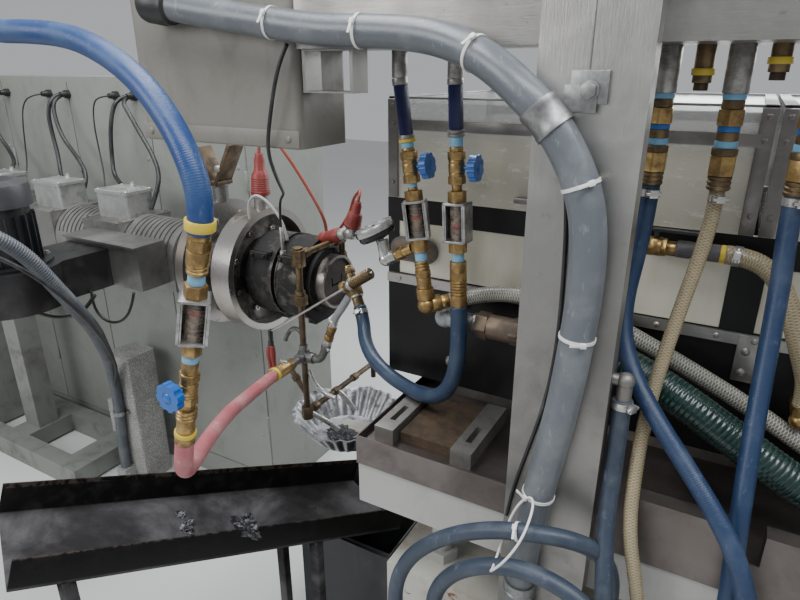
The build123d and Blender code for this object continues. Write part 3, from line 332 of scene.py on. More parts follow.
ROUTES = {
    "supply": [
        (-0.9075, 0.055, 1.85), (-0.9495, 0.055, 1.85), (-1.006, 0.013, 1.84), (-1.042, -0.07, 1.812),
        (-1.036, -0.157, 1.75), (-0.9795, -0.217, 1.692), (-0.8845, -0.243, 1.656),
        (-0.7845, -0.241, 1.654), (-0.6895, -0.239, 1.646), (-0.5995, -0.249, 1.62),
        (-0.5165, -0.265, 1.582), (-0.4565, -0.277, 1.532), (-0.4225, -0.284, 1.478),
        (-0.4158, -0.285, 1.4341), (-0.4245, -0.285, 1.4),
    ],
    "die": [
        (-0.2386, 0.145, 1.1875), (-0.2365, 0.145, 1.147), (-0.2365, 0.1445, 1.085),
        (-0.2455, 0.147, 1.028), (-0.2715, 0.153, 0.982), (-0.3195, 0.169, 0.96), (-0.3725, 0.191, 0.956),
        (-0.4295, 0.213, 0.959), (-0.4875, 0.239, 0.974), (-0.5305, 0.27, 0.998), (-0.5614, 0.3154, 1.0294),
        (-0.5794, 0.3261, 1.0585),
    ],
    "pink": [
        (-0.5134, -0.285, 1.0512), (-0.5229, -0.285, 1.0138), (-0.5385, -0.275, 0.982),
        (-0.5625, -0.247, 0.957), (-0.5925, -0.203, 0.944), (-0.6245, -0.145, 0.938),
        (-0.6545, -0.085, 0.929), (-0.6825, -0.025, 0.92), (-0.7065, 0.037, 0.907), (-0.7295, 0.105, 0.896),
        (-0.7495, 0.171, 0.886), (-0.7605, 0.213, 0.882), (-0.7605, 0.255, 0.882),
    ],
    "yellow": [
        (0.1555, 0.145, 1.44), (0.1555, 0.145, 1.4), (0.1485, 0.134, 1.34), (0.1365, 0.109, 1.267),
        (0.1255, 0.083, 1.187), (0.1175, 0.055, 1.107), (0.1185, 0.012, 1.028), (0.1255, -0.02, 0.945),
        (0.1475, -0.033, 0.87), (0.1625, -0.036, 0.8), (0.1655, -0.03, 0.73), (0.1635, -0.025, 0.66),
        (0.1635, -0.025, 0.6),
    ],
    "blue_1": [
        (0.0655, 0.145, 1.44), (0.0655, 0.145, 1.4), (0.0615, 0.133, 1.33), (0.0565, 0.109, 1.262),
        (0.0665, 0.083, 1.208), (0.0935, 0.055, 1.163), (0.1335, 0.025, 1.121), (0.1785, 0.001, 1.078),
        (0.2225, -0.027, 1.038), (0.2615, -0.049, 0.993), (0.2875, -0.059, 0.93), (0.3055, -0.056, 0.86),
        (0.3165, -0.041, 0.79), (0.3195, -0.028, 0.72), (0.3175, -0.025, 0.655), (0.3175, -0.025, 0.6),
    ],
    "blue_2": [
        (0.2505, 0.145, 1.44), (0.2505, 0.145, 1.4), (0.2555, 0.132, 1.325), (0.2575, 0.107, 1.24),
        (0.2585, 0.074, 1.158), (0.2605, 0.037, 1.078), (0.2635, 0.001, 1), (0.2685, -0.018, 0.92),
        (0.2725, -0.027, 0.84), (0.2725, -0.029, 0.76), (0.2705, -0.025, 0.68), (0.2705, -0.025, 0.6),
    ],
    "loop": [
        (0.0875, 0.005, 1.15), (0.0875, 0.005, 1.108), (0.0885, 0.001, 1.05), (0.0905, -0.013, 0.992),
        (0.0955, -0.038, 0.935), (0.1075, -0.07, 0.875), (0.1185, -0.093, 0.81), (0.1225, -0.103, 0.742),
        (0.1115, -0.108, 0.682), (0.0775, -0.112, 0.635), (0.0255, -0.114, 0.606), (-0.0325, -0.114, 0.597),
        (-0.0885, -0.112, 0.612), (-0.1345, -0.109, 0.65), (-0.1595, -0.106, 0.704),
        (-0.1555, -0.105, 0.762), (-0.1245, -0.107, 0.818), (-0.0745, -0.111, 0.862),
        (-0.0175, -0.115, 0.888), (0.0395, -0.118, 0.893), (0.0915, -0.121, 0.876), (0.1315, -0.125, 0.838),
        (0.1525, -0.129, 0.786), (0.1515, -0.133, 0.73), (0.1285, -0.137, 0.678), (0.0875, -0.14, 0.634),
        (0.0335, -0.142, 0.602), (-0.0285, -0.142, 0.583), (-0.0925, -0.139, 0.582),
        (-0.1525, -0.133, 0.602), (-0.2005, -0.125, 0.64), (-0.2295, -0.115, 0.69),
        (-0.2325, -0.105, 0.745), (-0.2125, -0.098, 0.8), (-0.1725, -0.095, 0.85), (-0.1205, -0.095, 0.893),
        (-0.0625, -0.096, 0.926), (-0.0025, -0.094, 0.944), (0.0515, -0.077, 0.942),
        (0.0895, -0.049, 0.915), (0.1115, -0.029, 0.866), (0.1155, -0.023, 0.805), (0.1115, -0.024, 0.74),
        (0.1135, -0.025, 0.672), (0.1135, -0.025, 0.6),
    ],
    "suction": [
        (-0.1245, 0.185, 1.14), (-0.0445, 0.185, 1.14), (0.0505, 0.165, 1.138), (0.1505, 0.141, 1.106),
        (0.2455, 0.127, 1.06), (0.3405, 0.119, 1.01), (0.4405, 0.117, 0.974), (0.5455, 0.123, 0.962),
        (0.6255, 0.123, 0.962),
    ],
    "braided": [
        (-0.2722, 0.1733, 1.1812), (-0.2449, 0.1964, 1.1852), (-0.1945, 0.213, 1.198),
        (-0.1295, 0.213, 1.205), (-0.0595, 0.213, 1.203), (0.0105, 0.211, 1.188), (0.0855, 0.209, 1.158),
        (0.1655, 0.209, 1.124), (0.2565, 0.203, 1.085), (0.3355, 0.193, 1.046), (0.4055, 0.187, 1.014),
        (0.4655, 0.188, 1.002), (0.5195, 0.188, 1.002),
    ],
    "vacuum": [
        (0.1815, 0.215, 1.329), (0.2135, 0.215, 1.329), (0.2495, 0.205, 1.313), (0.2755, 0.191, 1.276),
        (0.2945, 0.183, 1.228), (0.3125, 0.183, 1.184), (0.3255, 0.185, 1.148), (0.3255, 0.185, 1.114),
    ],
    "grey": [
        (-0.7945, -0.0043, 1.712), (-0.6845, -0.0043, 1.695), (-0.5825, -0.0043, 1.68),
        (-0.4225, -0.0044, 1.657), (-0.3435, -0.0043, 1.654), (-0.2485, -0.005, 1.648),
        (-0.1825, -0.013, 1.632), (-0.1265, -0.032, 1.608), (-0.0805, -0.045, 1.576),
        (-0.0405, -0.0455, 1.54), (-0.0085, -0.0443, 1.494), (0.0135, -0.0444, 1.446),
        (0.0235, -0.0443, 1.394), (0.0265, -0.0443, 1.33), (0.0225, -0.0444, 1.25), (0.0145, -0.0443, 1.15),
        (-0.0035, -0.0444, 1.025), (-0.0155, -0.0443, 0.94), (-0.0245, -0.0444, 0.86),
        (-0.0275, -0.0443, 0.751), (-0.029, -0.0443, 0.65), (-0.029, -0.0443, 0.56),
    ],
    "conduit": [
        (-1.663, -0.007, 1.198), (-1.663, -0.06, 1.198), (-1.643, -0.127, 1.214), (-1.593, -0.182, 1.238),
        (-1.52, -0.209, 1.26), (-1.452, -0.193, 1.272), (-1.403, -0.139, 1.264), (-1.377, -0.071, 1.228),
        (-1.371, -0.003, 1.16), (-1.367, 0.049, 1.062), (-1.381, 0.111, 0.962), (-1.442, 0.185, 0.862),
        (-1.544, 0.26, 0.77), (-1.655, 0.34, 0.682), (-1.744, 0.405, 0.6), (-1.796, 0.443, 0.512),
        (-1.808, 0.4535, 0.425), (-1.813, 0.4536, 0.33), (-1.825, 0.4535, 0.23), (-1.833, 0.4535, 0.14),
        (-1.833, 0.4535, 0.07),
    ],
}


def suction_finish():
    """Ribbed dark green hose: glossy, with a painted highlight along the crests of its spiral rib and pale
    dashes of painted highlight on them where a noise is high.
    """
    material, shader, place = new_finish("green_ribbed_hose", coat_weight=0.25, coat_roughness=0.15)
    uv = Tone(material.node_tree.nodes.new("ShaderNodeUVMap").outputs["UV"])
    ridge = uv.math("PINGPONG", uv.part(0) * (1 / RIB_PITCH) + uv.part(1), 0.5)
    # crest: where the rib's crest runs; its colour is made lighter below as a painted highlight
    crest = ridge.between(0.4, 0.49)
    worn = place.noise(30, 5, 0.6).between(0.45, 0.65)
    base = crest.choose((0.007, 0.026, 0.023), (0.014, 0.06, 0.048))
    # pale dashes of painted highlight on the crests where the worn noise is high; that noise also makes the
    # hose duller in patches
    base = (crest * worn * 0.3).choose(base, (0.36, 0.44, 0.4))
    lay(shader, base_color=base, roughness=0.24 + 0.2 * worn, relief=(place.noise(160, 3), 0.0003))
    return material


RIB_PITCH = 0.0085
HOSE_FINISHES["green"] = suction_finish()


def ribs(low, high, pitch):
    """A radius that swells and narrows along a corrugated tube."""
    return lambda gone: low + (high - low) * (0.5 - 0.5 * cos(2 * pi * gone / pitch))


CORDS = (
    ("supply", 0.034, 1.105, "bright_blue", "blue_hose", "medium"),
    ("die", 0.032, 0.606, "dark_blue", "blue_hose", "medium"),
    ("pink", 0.03, 0.677, "pink", "pink_hose", "medium"),
    ("yellow", 0.021, 0.879, "yellow", "yellow_hose", "medium"),
    ("blue_1", 0.027, 0.967, "blue", "blue_hose", "medium"),
    ("blue_2", 0.027, 0.87, "blue", "blue_hose", "medium"),
    ("loop", 0.027, 2.657, "dusty_blue", "blue_hose", "medium"),
    ("suction", 0.06, 0.789, "green", "green_hose", "stiff"),
    ("braided", 0.03, 0.844, "clear", "clear_hose", "medium"),
    ("vacuum", 0.03, 0.29, "yellow", "yellow_hose", "medium"),
)
LINES = {}
for name, across, length, look, slot, stiffness in CORDS:
    node = {"blue_1": "blue_hose_1", "blue_2": "blue_hose_2"}.get(name, name + "_hose")
    line = centreline(ROUTES[name], 0.0021 if name == "suction" else 0.004)
    LINES[name] = line
    if name == "suction":
        piece = tube(name + "_hose_ribbed", line, ribs(0.0287, 0.03, RIB_PITCH), 32)
    else:
        piece = tube(name + "_hose_line", line, across / 2, 24)
    settle(piece, [HOSE_FINISHES[look]], instead_of=[node])

# The big hose over the beam and down the first post: smooth grey vinyl, held by white cable ties
# and two steel pipe clamps, so it is no free hose.
grey_material = rubber("grey_vinyl", (0.112, 0.124, 0.138), (0.185, 0.194, 0.205), 0.3)
grey_line = centreline(ROUTES["grey"], 0.006)
grey_hose = tube("grey_hose_smooth", grey_line, 0.024, 32)
settle(grey_hose, [grey_material], instead_of=["grey_hose"])

# Conduit from the blower's motor down to the pedestal: corrugated grey plastic, held at both ends.
conduit_material = rubber("conduit_plastic", (0.085, 0.095, 0.11), (0.16, 0.165, 0.17), 0.4)
conduit_line = centreline(ROUTES["conduit"], 0.00175)
conduit = tube("conduit_corrugated", conduit_line, ribs(0.0178, 0.021, 0.007), 18)
settle(conduit, [conduit_material], instead_of=["conduit"])


# Cable ties: white nylon bands pulled tight round the grey hose, each with its square head and
# a short cut tail. The loops of the water hose have one too.
def plain_plastic(name, colour, gloss, **fixed):
    """Moulded plastic, darker where grime has gathered."""
    material, shader, place = new_finish(name, **fixed)
    grime = place.noise(28, 5, 0.6).between(0.45, 0.8)
    darker = shaded(colour, 0.62)
    lay(
        shader, base_color=(grime * 0.6).choose(colour, darker), roughness=gloss + 0.2 * grime,
        relief=(place.noise(300, 3), 0.0002),
    )
    return material


def shift(x, y, z):
    return Matrix.Translation((x, y, z))


def turn_by(degrees, axis):
    return Matrix.Rotation(radians(degrees), 4, axis)


def nearest(line, at):
    """Where a line passes nearest to a place: the point and the line's direction there."""
    i = min(range(1, len(line) - 1), key=lambda k: (line[k] - Vector(at)).length)
    ahead = (line[i + 1] - line[i - 1]).normalized()
    return line[i], ahead


def around(line, at, face):
    """A matrix on a line near a place: Z runs along the line and X towards a direction."""
    point, ahead = nearest(line, at)
    x = Vector(face)
    x = (x - ahead * x.dot(ahead)).normalized()
    y = ahead.cross(x)
    return shift(*point) @ Matrix((x, y, ahead)).transposed().to_4x4()


def select_only(piece):
    bpy.ops.object.select_all(action="DESELECT")
    piece.select_set(True)
    bpy.context.view_layer.objects.active = piece


def finish_mesh(piece, bevel=0.0, segments=2, angle=30):
    """Bevel a piece's sharp edges, apply every modifier and shade it smooth by angle."""
    select_only(piece)
    if bevel:
        rounding = piece.modifiers.new("rounding", "BEVEL")
        rounding.width = bevel
        rounding.segments = segments
        rounding.limit_method = "ANGLE"
        rounding.angle_limit = radians(angle)
        rounding.harden_normals = False
    for modifier in list(piece.modifiers):
        bpy.ops.object.modifier_apply(modifier=modifier.name)
    bpy.ops.object.shade_smooth_by_angle(angle=radians(35))
    return piece


def placed(piece, matrix):
    """Move a finished mesh to its place, with its object left at the origin."""
    piece.data.transform(matrix @ piece.matrix_world)
    piece.matrix_world = Matrix.Identity(4)
    return piece


def added(name, primitive, **options):
    """A primitive mesh at the origin, which is then the only selected piece."""
    bpy.ops.object.select_all(action="DESELECT")
    getattr(bpy.ops.mesh, f"primitive_{primitive}_add")(location=(0, 0, 0), **options)
    piece = bpy.context.object
    piece.name = name
    return piece


def box_piece(name, size, at=(0, 0, 0), bevel=0.001, segments=2):
    """A block with rounded edges, centred at a place."""
    piece = added(name, "cube", size=1)
    piece.data.transform(shift(*at) @ Matrix.Diagonal((*size, 1)))
    return finish_mesh(piece, bevel, segments)


def open_mesh(piece):
    """Begin to edit a piece's mesh, with all of it selected."""
    select_only(piece)
    bpy.ops.object.mode_set(mode="EDIT")
    bpy.ops.mesh.select_all(action="SELECT")


def close_mesh():
    """Weld the mesh that is being edited, turn its faces outwards and end the edit."""
    bpy.ops.mesh.select_all(action="SELECT")
    bpy.ops.mesh.remove_doubles(threshold=0.00001)
    bpy.ops.mesh.normals_make_consistent(inside=False)
    bpy.ops.object.mode_set(mode="OBJECT")


def turned(name, outline, sides=32, bevel=0.0):
    """A piece turned about Z from (radius, height) points, spun as on a lathe and closed."""
    points = [(r, 0, z) for r, z in outline]
    piece = new_piece(name, points, [(i, i + 1) for i in range(len(points) - 1)], [])
    open_mesh(piece)
    bpy.ops.mesh.spin(steps=sides, angle=2 * pi, center=(0, 0, 0), axis=(0, 0, 1))
    close_mesh()
    return finish_mesh(piece, bevel)


def ring_piece(name, inner, outer, low, high, sides=40):
    """A ring of square section about Z, between two radii and two heights."""
    outline = [(inner, low), (outer, low), (outer, high), (inner, high), (inner, low)]
    return turned(name, outline, sides)


def screw_head(name, radius, height, crown, shoulder, sides=20):
    """A domed head on Z = 0. Its crown ends at a (radius, height), its side at a height."""
    return turned(name, [(0, height), crown, (radius, shoulder), (radius, 0), (0, 0)], sides)


def prism(name, sides, radius, z0, z1, bevel=0.0008):
    """A round or six-sided bar from one height to another, with eased edges."""
    piece = added(name, "cylinder", vertices=sides, radius=radius, depth=abs(z1 - z0))
    piece.data.transform(shift(0, 0, (z0 + z1) / 2))
    return finish_mesh(piece, bevel)


def joined(name, pieces):
    """Several meshes as one."""
    bpy.ops.object.select_all(action="DESELECT")
    for piece in pieces:
        piece.select_set(True)
    bpy.context.view_layer.objects.active = pieces[0]
    if len(pieces) > 1:
        bpy.ops.object.join()
    pieces[0].name = name
    return pieces[0]


nylon = plain_plastic("white_nylon", (0.72, 0.72, 0.68), 0.4)


def cable_tie(radius):
    """One tie round a hose of a radius, its head on +X and its tail pointing on past it."""
    band = ring_piece("tie", radius + 0.0002, radius + 0.0016, -0.0024, 0.0024)
    head = box_piece("head", (0.0055, 0.0085, 0.0075), (radius + 0.0036, 0, 0), 0.0012)
    tail = box_piece("tail", (0.0012, 0.016, 0.0044), (radius + 0.0052, 0.011, 0), 0.0004)
    return joined("tie", [band, head, tail])


grey_tie_places = (
    ((-0.5155, -0.004, 1.671), (0, -1, 0.6)), ((-0.35, -0.004, 1.655), (0.2, -1, 0.5)),
    ((-0.15, -0.01, 1.625), (0.5, -1, 0.8)), ((0.0105, -0.044, 1.463), (1, -1, 0)),
    ((0.0235, -0.044, 1.257), (0.6, -1, 0)), ((-0.0085, -0.044, 0.981), (-0.6, -1, 0)),
)
for k, (at, face) in enumerate(grey_tie_places):
    tie = placed(cable_tie(0.024), around(grey_line, at, face))
    tie.name = f"hose_tie_{k + 1}"
    settle(tie, [nylon])


# Stainless sheet and tube: posts, beam, tray and their brackets, folded and welded, brushed once
# and since marked by water, hands and dust.
def stainless(name, colour, stain, grain, mottle=9.0, gloss=0.34, painted_light_from=None):
    """Brushed stainless steel, with blotches, dull streaks and fine grain along one axis. Where a
    height is given, it is painted brighter from there upwards, a painted highlight for the light from
    above."""
    material, shader, place = new_finish(name, metallic=1.0)
    blotch = place.noise(mottle, 6, 0.62, 0.4).between(0.38, 0.68)
    film = place.stretched((1, 1, 0.3)).noise(3.2, 4, 0.6).between(0.4, 0.72)
    spots = place.noise(55, 4, 0.7).between(0.62, 0.7)
    lines = place.stretched(grain).noise(60, 3, 0.6)
    base = blotch.choose(colour, shaded(colour, 0.66))
    base = (film * 0.6).choose(base, stain)
    base = (spots * 0.35).choose(base, (0.14, 0.12, 0.1))
    if painted_light_from:
        # painted highlight: the colour brightens over 0.55 m upwards from the given height
        top_highlight = place.part(2).between(painted_light_from, painted_light_from + 0.55)
        base = (top_highlight * (0.35 + 0.4 * blotch)).choose(base, (0.7, 0.685, 0.66))
    lay(
        shader, base_color=base, roughness=gloss + 0.2 * film + 0.16 * (lines - 0.5) + 0.08 * blotch,
        metallic=0.95 - 0.35 * film, relief=(lines, 0.0002),
    )
    return material


# The posts are painted brighter from 1.12 m up, a painted highlight.
post_steel = stainless(
    "post_stainless", (0.3, 0.29, 0.275), (0.22, 0.205, 0.18), (12, 12, 0.6), 7, 0.34, 1.12
)
beam_steel = stainless("beam_stainless", (0.36, 0.35, 0.335), (0.29, 0.275, 0.25), (0.6, 12, 12), 6)
tray_steel = stainless("tray_stainless", (0.2, 0.175, 0.165), (0.115, 0.085, 0.07), (0.7, 12, 12), 8)
strip_steel = stainless("strip_stainless", (0.46, 0.45, 0.43), (0.3, 0.27, 0.23), (0.7, 12, 12), 9, 0.3)
dress("posts", post_steel)
dress("overhead_beam", beam_steel)
dress("tray", tray_steel)

# Bracket plate of zinc-plated steel that ties the first post to the beam, with its bolt and
# washer, and the two pipe clamps that hold the grey hose to the post.
zinc, shader, place = new_finish("zinc_plate", metallic=1.0)
spangle = place.cells(160)
lay(
    shader, base_color=spangle.choose((0.24, 0.245, 0.245), (0.34, 0.34, 0.335)),
    roughness=0.36 + 0.2 * place.noise(20, 5), relief=(place.noise(90, 3), 0.0002),
)
tape_blue = plain_plastic("thread_tape", (0.2, 0.42, 0.6), 0.55)


def hex_bolt(name, across, height, washer=0.0):
    """A bolt head standing on Z = 0, with a chamfered six-sided head on a washer."""
    parts = []
    if washer:
        parts.append(prism(name, 28, washer, 0, 0.0018, 0.0004))
    parts.append(prism(name, 6, across / 2, 0.0018 if washer else 0, height, 0.0009))
    return joined(name, parts)


def facing(at, direction):
    """A matrix at a place whose Z points in a direction."""
    z = Vector(direction).normalized()
    x = Vector((0, 0, 1)).cross(z)
    x = x.normalized() if x.length > 1e-6 else Vector((1, 0, 0))
    return shift(*at) @ Matrix((x, z.cross(x), z)).transposed().to_4x4()


def on_front(x, y, z):
    """A matrix at a place whose Z points towards the operator."""
    return facing((x, y, z), (0, -1, 0))


POST_FACE_Y = -0.02
plate = box_piece("post_plate", (0.048, 0.005, 0.04), (-0.001, POST_FACE_Y - 0.0025, 1.58), 0.0015)
bolt = placed(hex_bolt("plate_bolt", 0.021, 0.011, 0.012), on_front(0.001, POST_FACE_Y - 0.0082, 1.576))
seam = box_piece("post_seam", (0.0022, 0.0012, 0.205), (-0.0035, POST_FACE_Y - 0.0004, 1.6795), 0.0004)
strap = box_piece("plate_strap", (0.042, 0.0032, 0.034), (-0.01, POST_FACE_Y - 0.0066, 1.566), 0.0012)
settle(joined("post_plate", [plate, strap, bolt, seam]), [zinc])


def pipe_clamp(name, at, width, sides=(-1, 1)):
    """A ribbed band round the grey hose, and its ears bolted to the post's face behind it."""
    point, _ = nearest(grey_line, at)
    band = turned(name, [
        (0.0244, -width / 2), (0.0274, -width / 2), (0.0274, -width * 0.34), (0.0262, -width * 0.28),
        (0.0262, width * 0.28), (0.0274, width * 0.34), (0.0274, width / 2), (0.0244, width / 2),
        (0.0244, -width / 2),
    ], 40)
    pieces = [placed(band, around(grey_line, at, (0, -1, 0)))]
    for side in sides:
        ear = box_piece(name, (0.024, 0.003, width), (side * 0.037, 0, 0), 0.001)
        pieces.append(placed(ear, shift(point.x, POST_FACE_Y - 0.0015, point.z)))
        head = hex_bolt(name, 0.014, 0.008, 0.009)
        pieces.append(placed(head, on_front(point.x + side * 0.04, POST_FACE_Y - 0.003, point.z)))
    return joined(name, pieces)


settle(pipe_clamp("pipe_clamp_top", (-0.0285, -0.045, 1.557), 0.04, ()), [zinc])
settle(pipe_clamp("pipe_clamp_low", (-0.028, -0.044, 0.79), 0.022), [zinc])


# Overhead console: a beige painted steel box with a seam round its lower edge and cross-slot
# screws in the lip, hung from the beam.
def enamel(name, colour, grime_colour, gloss=0.38, grime_share=0.6, chip=None, chip_from=0.7, **fixed):
    """Factory enamel: slight cloudiness, grime that gathers in patches, and chips where told."""
    material, shader, place = new_finish(name, **fixed)
    cloud = place.noise(2.6, 4, 0.6)
    grime = place.noise(7.5, 7, 0.66, 0.3).between(0.46, 0.76)
    runs = place.stretched((1, 1, 0.12)).noise(26, 4, 0.6).between(0.56, 0.74)
    base = cloud.choose(shaded(colour, 0.86), shaded(colour, 1.1))
    base = (grime * grime_share).choose(base, grime_colour)
    base = (runs * (grime_share * 0.5)).choose(base, grime_colour)
    rough = gloss + 0.25 * grime
    if chip:
        worn = place.noise(15, 8, 0.74, 0.5).between(chip_from, chip_from + 0.03)
        base = worn.choose(base, chip)
        rough = rough + 0.25 * worn
    lay(shader, base_color=base, roughness=rough, relief=(place.noise(120, 4) + 0.5 * grime, 0.0003))
    return material


console_paint = enamel("console_enamel", (0.185, 0.175, 0.152), (0.12, 0.105, 0.085), 0.46)
dress("overhead_console", console_paint)
console_trim = [box_piece("lip", (0.39, 0.003, 0.03), (-0.6865, 0.019, 1.487), 0.0012)]
for x in (-0.86, -0.515):
    head = screw_head("screw", 0.0062, 0.0036, (0.004, 0.0032), 0.0012)
    console_trim.append(placed(head, on_front(x, 0.0176, 1.487)))
settle(joined("console_lip", console_trim), [console_paint])


# Water drops: threaded brass, steel and plastic fittings screwed into one another under the beam,
# each chain hanging a little out of plumb from its first joint.
def worn_metal(name, colour, dull, gloss, scale=38.0):
    """Cast or turned metal that has dulled, with brighter rims where hands and tools rub it."""
    material, shader, place = new_finish(name, metallic=1.0)
    patina = place.noise(scale, 6, 0.62).between(0.36, 0.66)
    scratch = place.stretched((1, 1, 6)).noise(120, 3, 0.7).between(0.56, 0.72)
    base = patina.choose(colour, dull)
    bright = shaded(colour, 1.45)
    lay(
        shader, base_color=(scratch * 0.4).choose(base, bright), roughness=gloss + 0.24 * patina,
        metallic=1.0 - 0.3 * patina, relief=(place.noise(240, 4), 0.0003),
    )
    return material


brass = worn_metal("dull_brass", (0.47, 0.32, 0.13), (0.2, 0.125, 0.055), 0.3)
bronze = worn_metal("olive_bronze", (0.235, 0.17, 0.095), (0.105, 0.075, 0.045), 0.42)
steel = worn_metal("dull_steel", (0.42, 0.41, 0.39), (0.21, 0.2, 0.185), 0.36)
bright_steel = worn_metal("bright_steel", (0.62, 0.61, 0.59), (0.4, 0.39, 0.37), 0.24)
ring_yellow = plain_plastic("yellow_ring", (0.62, 0.46, 0.05), 0.4)
ring_blue = plain_plastic("blue_ring", (0.02, 0.13, 0.42), 0.4)
pipe_brown = worn_metal("scorched_pipe", (0.155, 0.115, 0.075), (0.07, 0.052, 0.038), 0.44, 26)
pipe_grey = worn_metal("grey_pipe", (0.25, 0.255, 0.25), (0.13, 0.125, 0.115), 0.38)
pvc = plain_plastic("pale_pvc", (0.3, 0.315, 0.32), 0.35)
pipe_dusty = worn_metal("dusty_pipe", (0.2, 0.155, 0.115), (0.125, 0.1, 0.08), 0.52, 20)
FITTING_FINISHES = [
    brass, steel, tape_blue, HOSE_FINISHES["navy"], ring_yellow, ring_blue, bronze, bright_steel,
    pipe_brown, pipe_grey, pvc, pipe_dusty,
]
BRASS, STEEL, TAPE, SLEEVE, YELLOW, BLUE, BRONZE, BRIGHT, BROWN, GREY, PVC, DUSTY = range(12)


def finished(part, look):
    """Give a fitting the shared set of finishes and choose one for it."""
    part.data.materials.clear()
    for material in FITTING_FINISHES:
        part.data.materials.append(material)
    part.data.polygons.foreach_set("material_index", [look] * len(part.data.polygons))
    return part


def chain(name, fittings):
    """Fittings end to end downwards, each (sides, length, radius, finish); returned as a list of parts.
    sides 0 is round, 6 is six-sided and 1 is a ribbed round grip."""
    z = 0.0
    parts = []
    for sides, length, r, look in fittings:
        length, r = length / 1000, r / 1000
        if sides == 1:
            outline = [(0, z - length)]
            count = max(2, round(length / 0.006))
            for k in range(count):
                low, rise = z - length + k * length / count, length / count
                outline += [(r * 0.9, low), (r, low + rise * 0.35), (r, low + rise * 0.75)]
            part = turned(name, [*outline, (r * 0.9, z), (0, z)], 28)
        else:
            part = prism(name, 6 if sides == 6 else 30, r, z - length, z, min(0.0012, length / 5))
        parts.append(finished(part, look))
        z -= length
    return parts


def hang(name, parts, matrix, instead_of="water_drops"):
    """Join a chain, move it to its place and settle it. Its finishes are already on it."""
    settle(placed(joined(name, parts), matrix), instead_of=[instead_of])


def tilted(at, lean):
    """A matrix at a place that leans along X."""
    return shift(*at) @ turn_by(lean, "Y")


def side_arm(name, sides, x0, x1, r, z, look):
    """A bar across a chain, from one distance out to another."""
    arm = prism(name, sides, r, x0, x1, 0.0008)
    arm.data.transform(shift(0, 0, z) @ turn_by(90, "Y"))
    return finished(arm, look)


def wall_leg(name, sides, r, length, look):
    """A bar from the origin straight back towards the tank's wall."""
    leg = prism(name, sides, r, 0, length, 0.0008)
    leg.data.transform(turn_by(-90, "X"))
    return finished(leg, look)


def painted_ball(name, r, at, look):
    """The rounded heel of an elbow."""
    ball = added(name, "uv_sphere", segments=28, ring_count=16, radius=r)
    ball.data.transform(shift(*at))
    ball.data.shade_smooth()
    return finished(ball, look)


VALVE = ((6, 14, 16, BRASS), (0, 6, 14, BRASS), (0, 16, 14.6, BRASS), (0, 6, 14, BRASS), (6, 14, 16, BRASS))
DROP_Y, BEAM_LOW = 0.145, 1.632
LEFT_X, RIGHT_X = -0.3655, -0.2595
left_at = tilted((LEFT_X, DROP_Y, 1.587), -8.3)
right_at = tilted((RIGHT_X, DROP_Y, 1.587), -3)
hang_at = tilted((-0.4245, -0.285, 1.4), 14.3)


def beam_pipe(name, at, x):
    """The upright pipe that comes out of the beam into a leaning drop, seen from the drop."""
    lift = at.inverted() @ shift(x, DROP_Y, BEAM_LOW)
    return [placed(part, lift) for part in chain(name, [(0, 45, 13.5, STEEL)])]


LEFT_DROP = (
    (0, 12, 14, STEEL), (0, 84, 12.6, SLEEVE), (0, 7, 14, STEEL), (0, 6, 15, YELLOW), (0, 10, 11.5, TAPE),
    (0, 6, 12, BRASS), *VALVE, (0, 8, 9, TAPE), (0, 6, 9, BRASS), (6, 18, 17, BRASS), (0, 72, 8.6, STEEL),
    (6, 24, 17, BRASS), (0, 18, 11.5, TAPE), (1, 18, 14, BRASS), (6, 14, 15, BRASS), (0, 22, 14, BRASS),
    (0, 22, 17, BRASS),
)
parts = chain("left_drop", LEFT_DROP)
elbow_parts = [
    painted_ball("left_drop", 0.018, (0, 0, 0), BRASS),
    side_arm("left_drop", 30, 0.01, 0.028, 0.0165, 0, BRASS),
    side_arm("left_drop", 30, 0.028, 0.044, 0.014, 0, BRASS),
]
end = sum(length for _, length, _, _ in LEFT_DROP) / 1000
elbow_at = shift(0, 0, -end - 0.012) @ turn_by(40, "Z")
parts += [placed(part, elbow_at) for part in elbow_parts]
hang("left_drop", parts + beam_pipe("left_drop", left_at, LEFT_X), left_at)

RIGHT_DROP = (
    (0, 10, 14, STEEL), (0, 72, 12.8, SLEEVE), (1, 12, 15, STEEL), (0, 16, 11.5, TAPE), (0, 8, 12, BRASS),
    *VALVE, (0, 12, 9, BRASS), (6, 20, 17, BRASS), (0, 72, 8.6, STEEL), (6, 20, 17, BRASS),
    (0, 16, 11.5, TAPE), (0, 20, 15.5, BRASS), (6, 16, 16, BRASS), (1, 28, 15.5, BRASS),
    (0, 22, 15.5, BRASS),
)
parts = chain("right_drop", RIGHT_DROP) + beam_pipe("right_drop", right_at, RIGHT_X)
hang("right_drop", parts, right_at)

HANGING = (
    (0, 8, 15, BRASS), (6, 16, 17, BRASS), (0, 22, 16, BRASS), (1, 14, 15, BRASS), (0, 16, 12, TAPE),
    (6, 20, 17, BRASS), (0, 74, 8.6, STEEL), (6, 22, 16, BRASS), (0, 13, 12.5, TAPE), (0, 20, 13, BRASS),
    *VALVE, (0, 12, 11, BRASS), (1, 20, 16, BRASS), (0, 25, 14.5, BRASS), (0, 8, 17, YELLOW),
    (0, 14, 16, BRASS),
)
hang("hanging_fittings", chain("hanging_fittings", HANGING), hang_at, "hanging_meter")

FAR_DROP = (
    (0, 8, 15, TAPE), (0, 12, 14.5, BRONZE), (6, 22, 18.5, BRASS), (0, 8, 14.5, BLUE),
    (0, 12, 14.5, BRONZE), (0, 10, 15, TAPE), (0, 10, 17, BRONZE), (6, 28, 18.5, BRASS),
    (1, 20, 16, BRONZE),
)
for k, x in enumerate((0.0655, 0.1555, 0.2505)):
    parts = chain(f"far_drop_{k + 1}", ((0, 62, 16.7, STEEL), *FAR_DROP))
    hang(f"far_drop_{k + 1}", parts, shift(x, DROP_Y, BEAM_LOW))


TANK_FRONT = 0.255


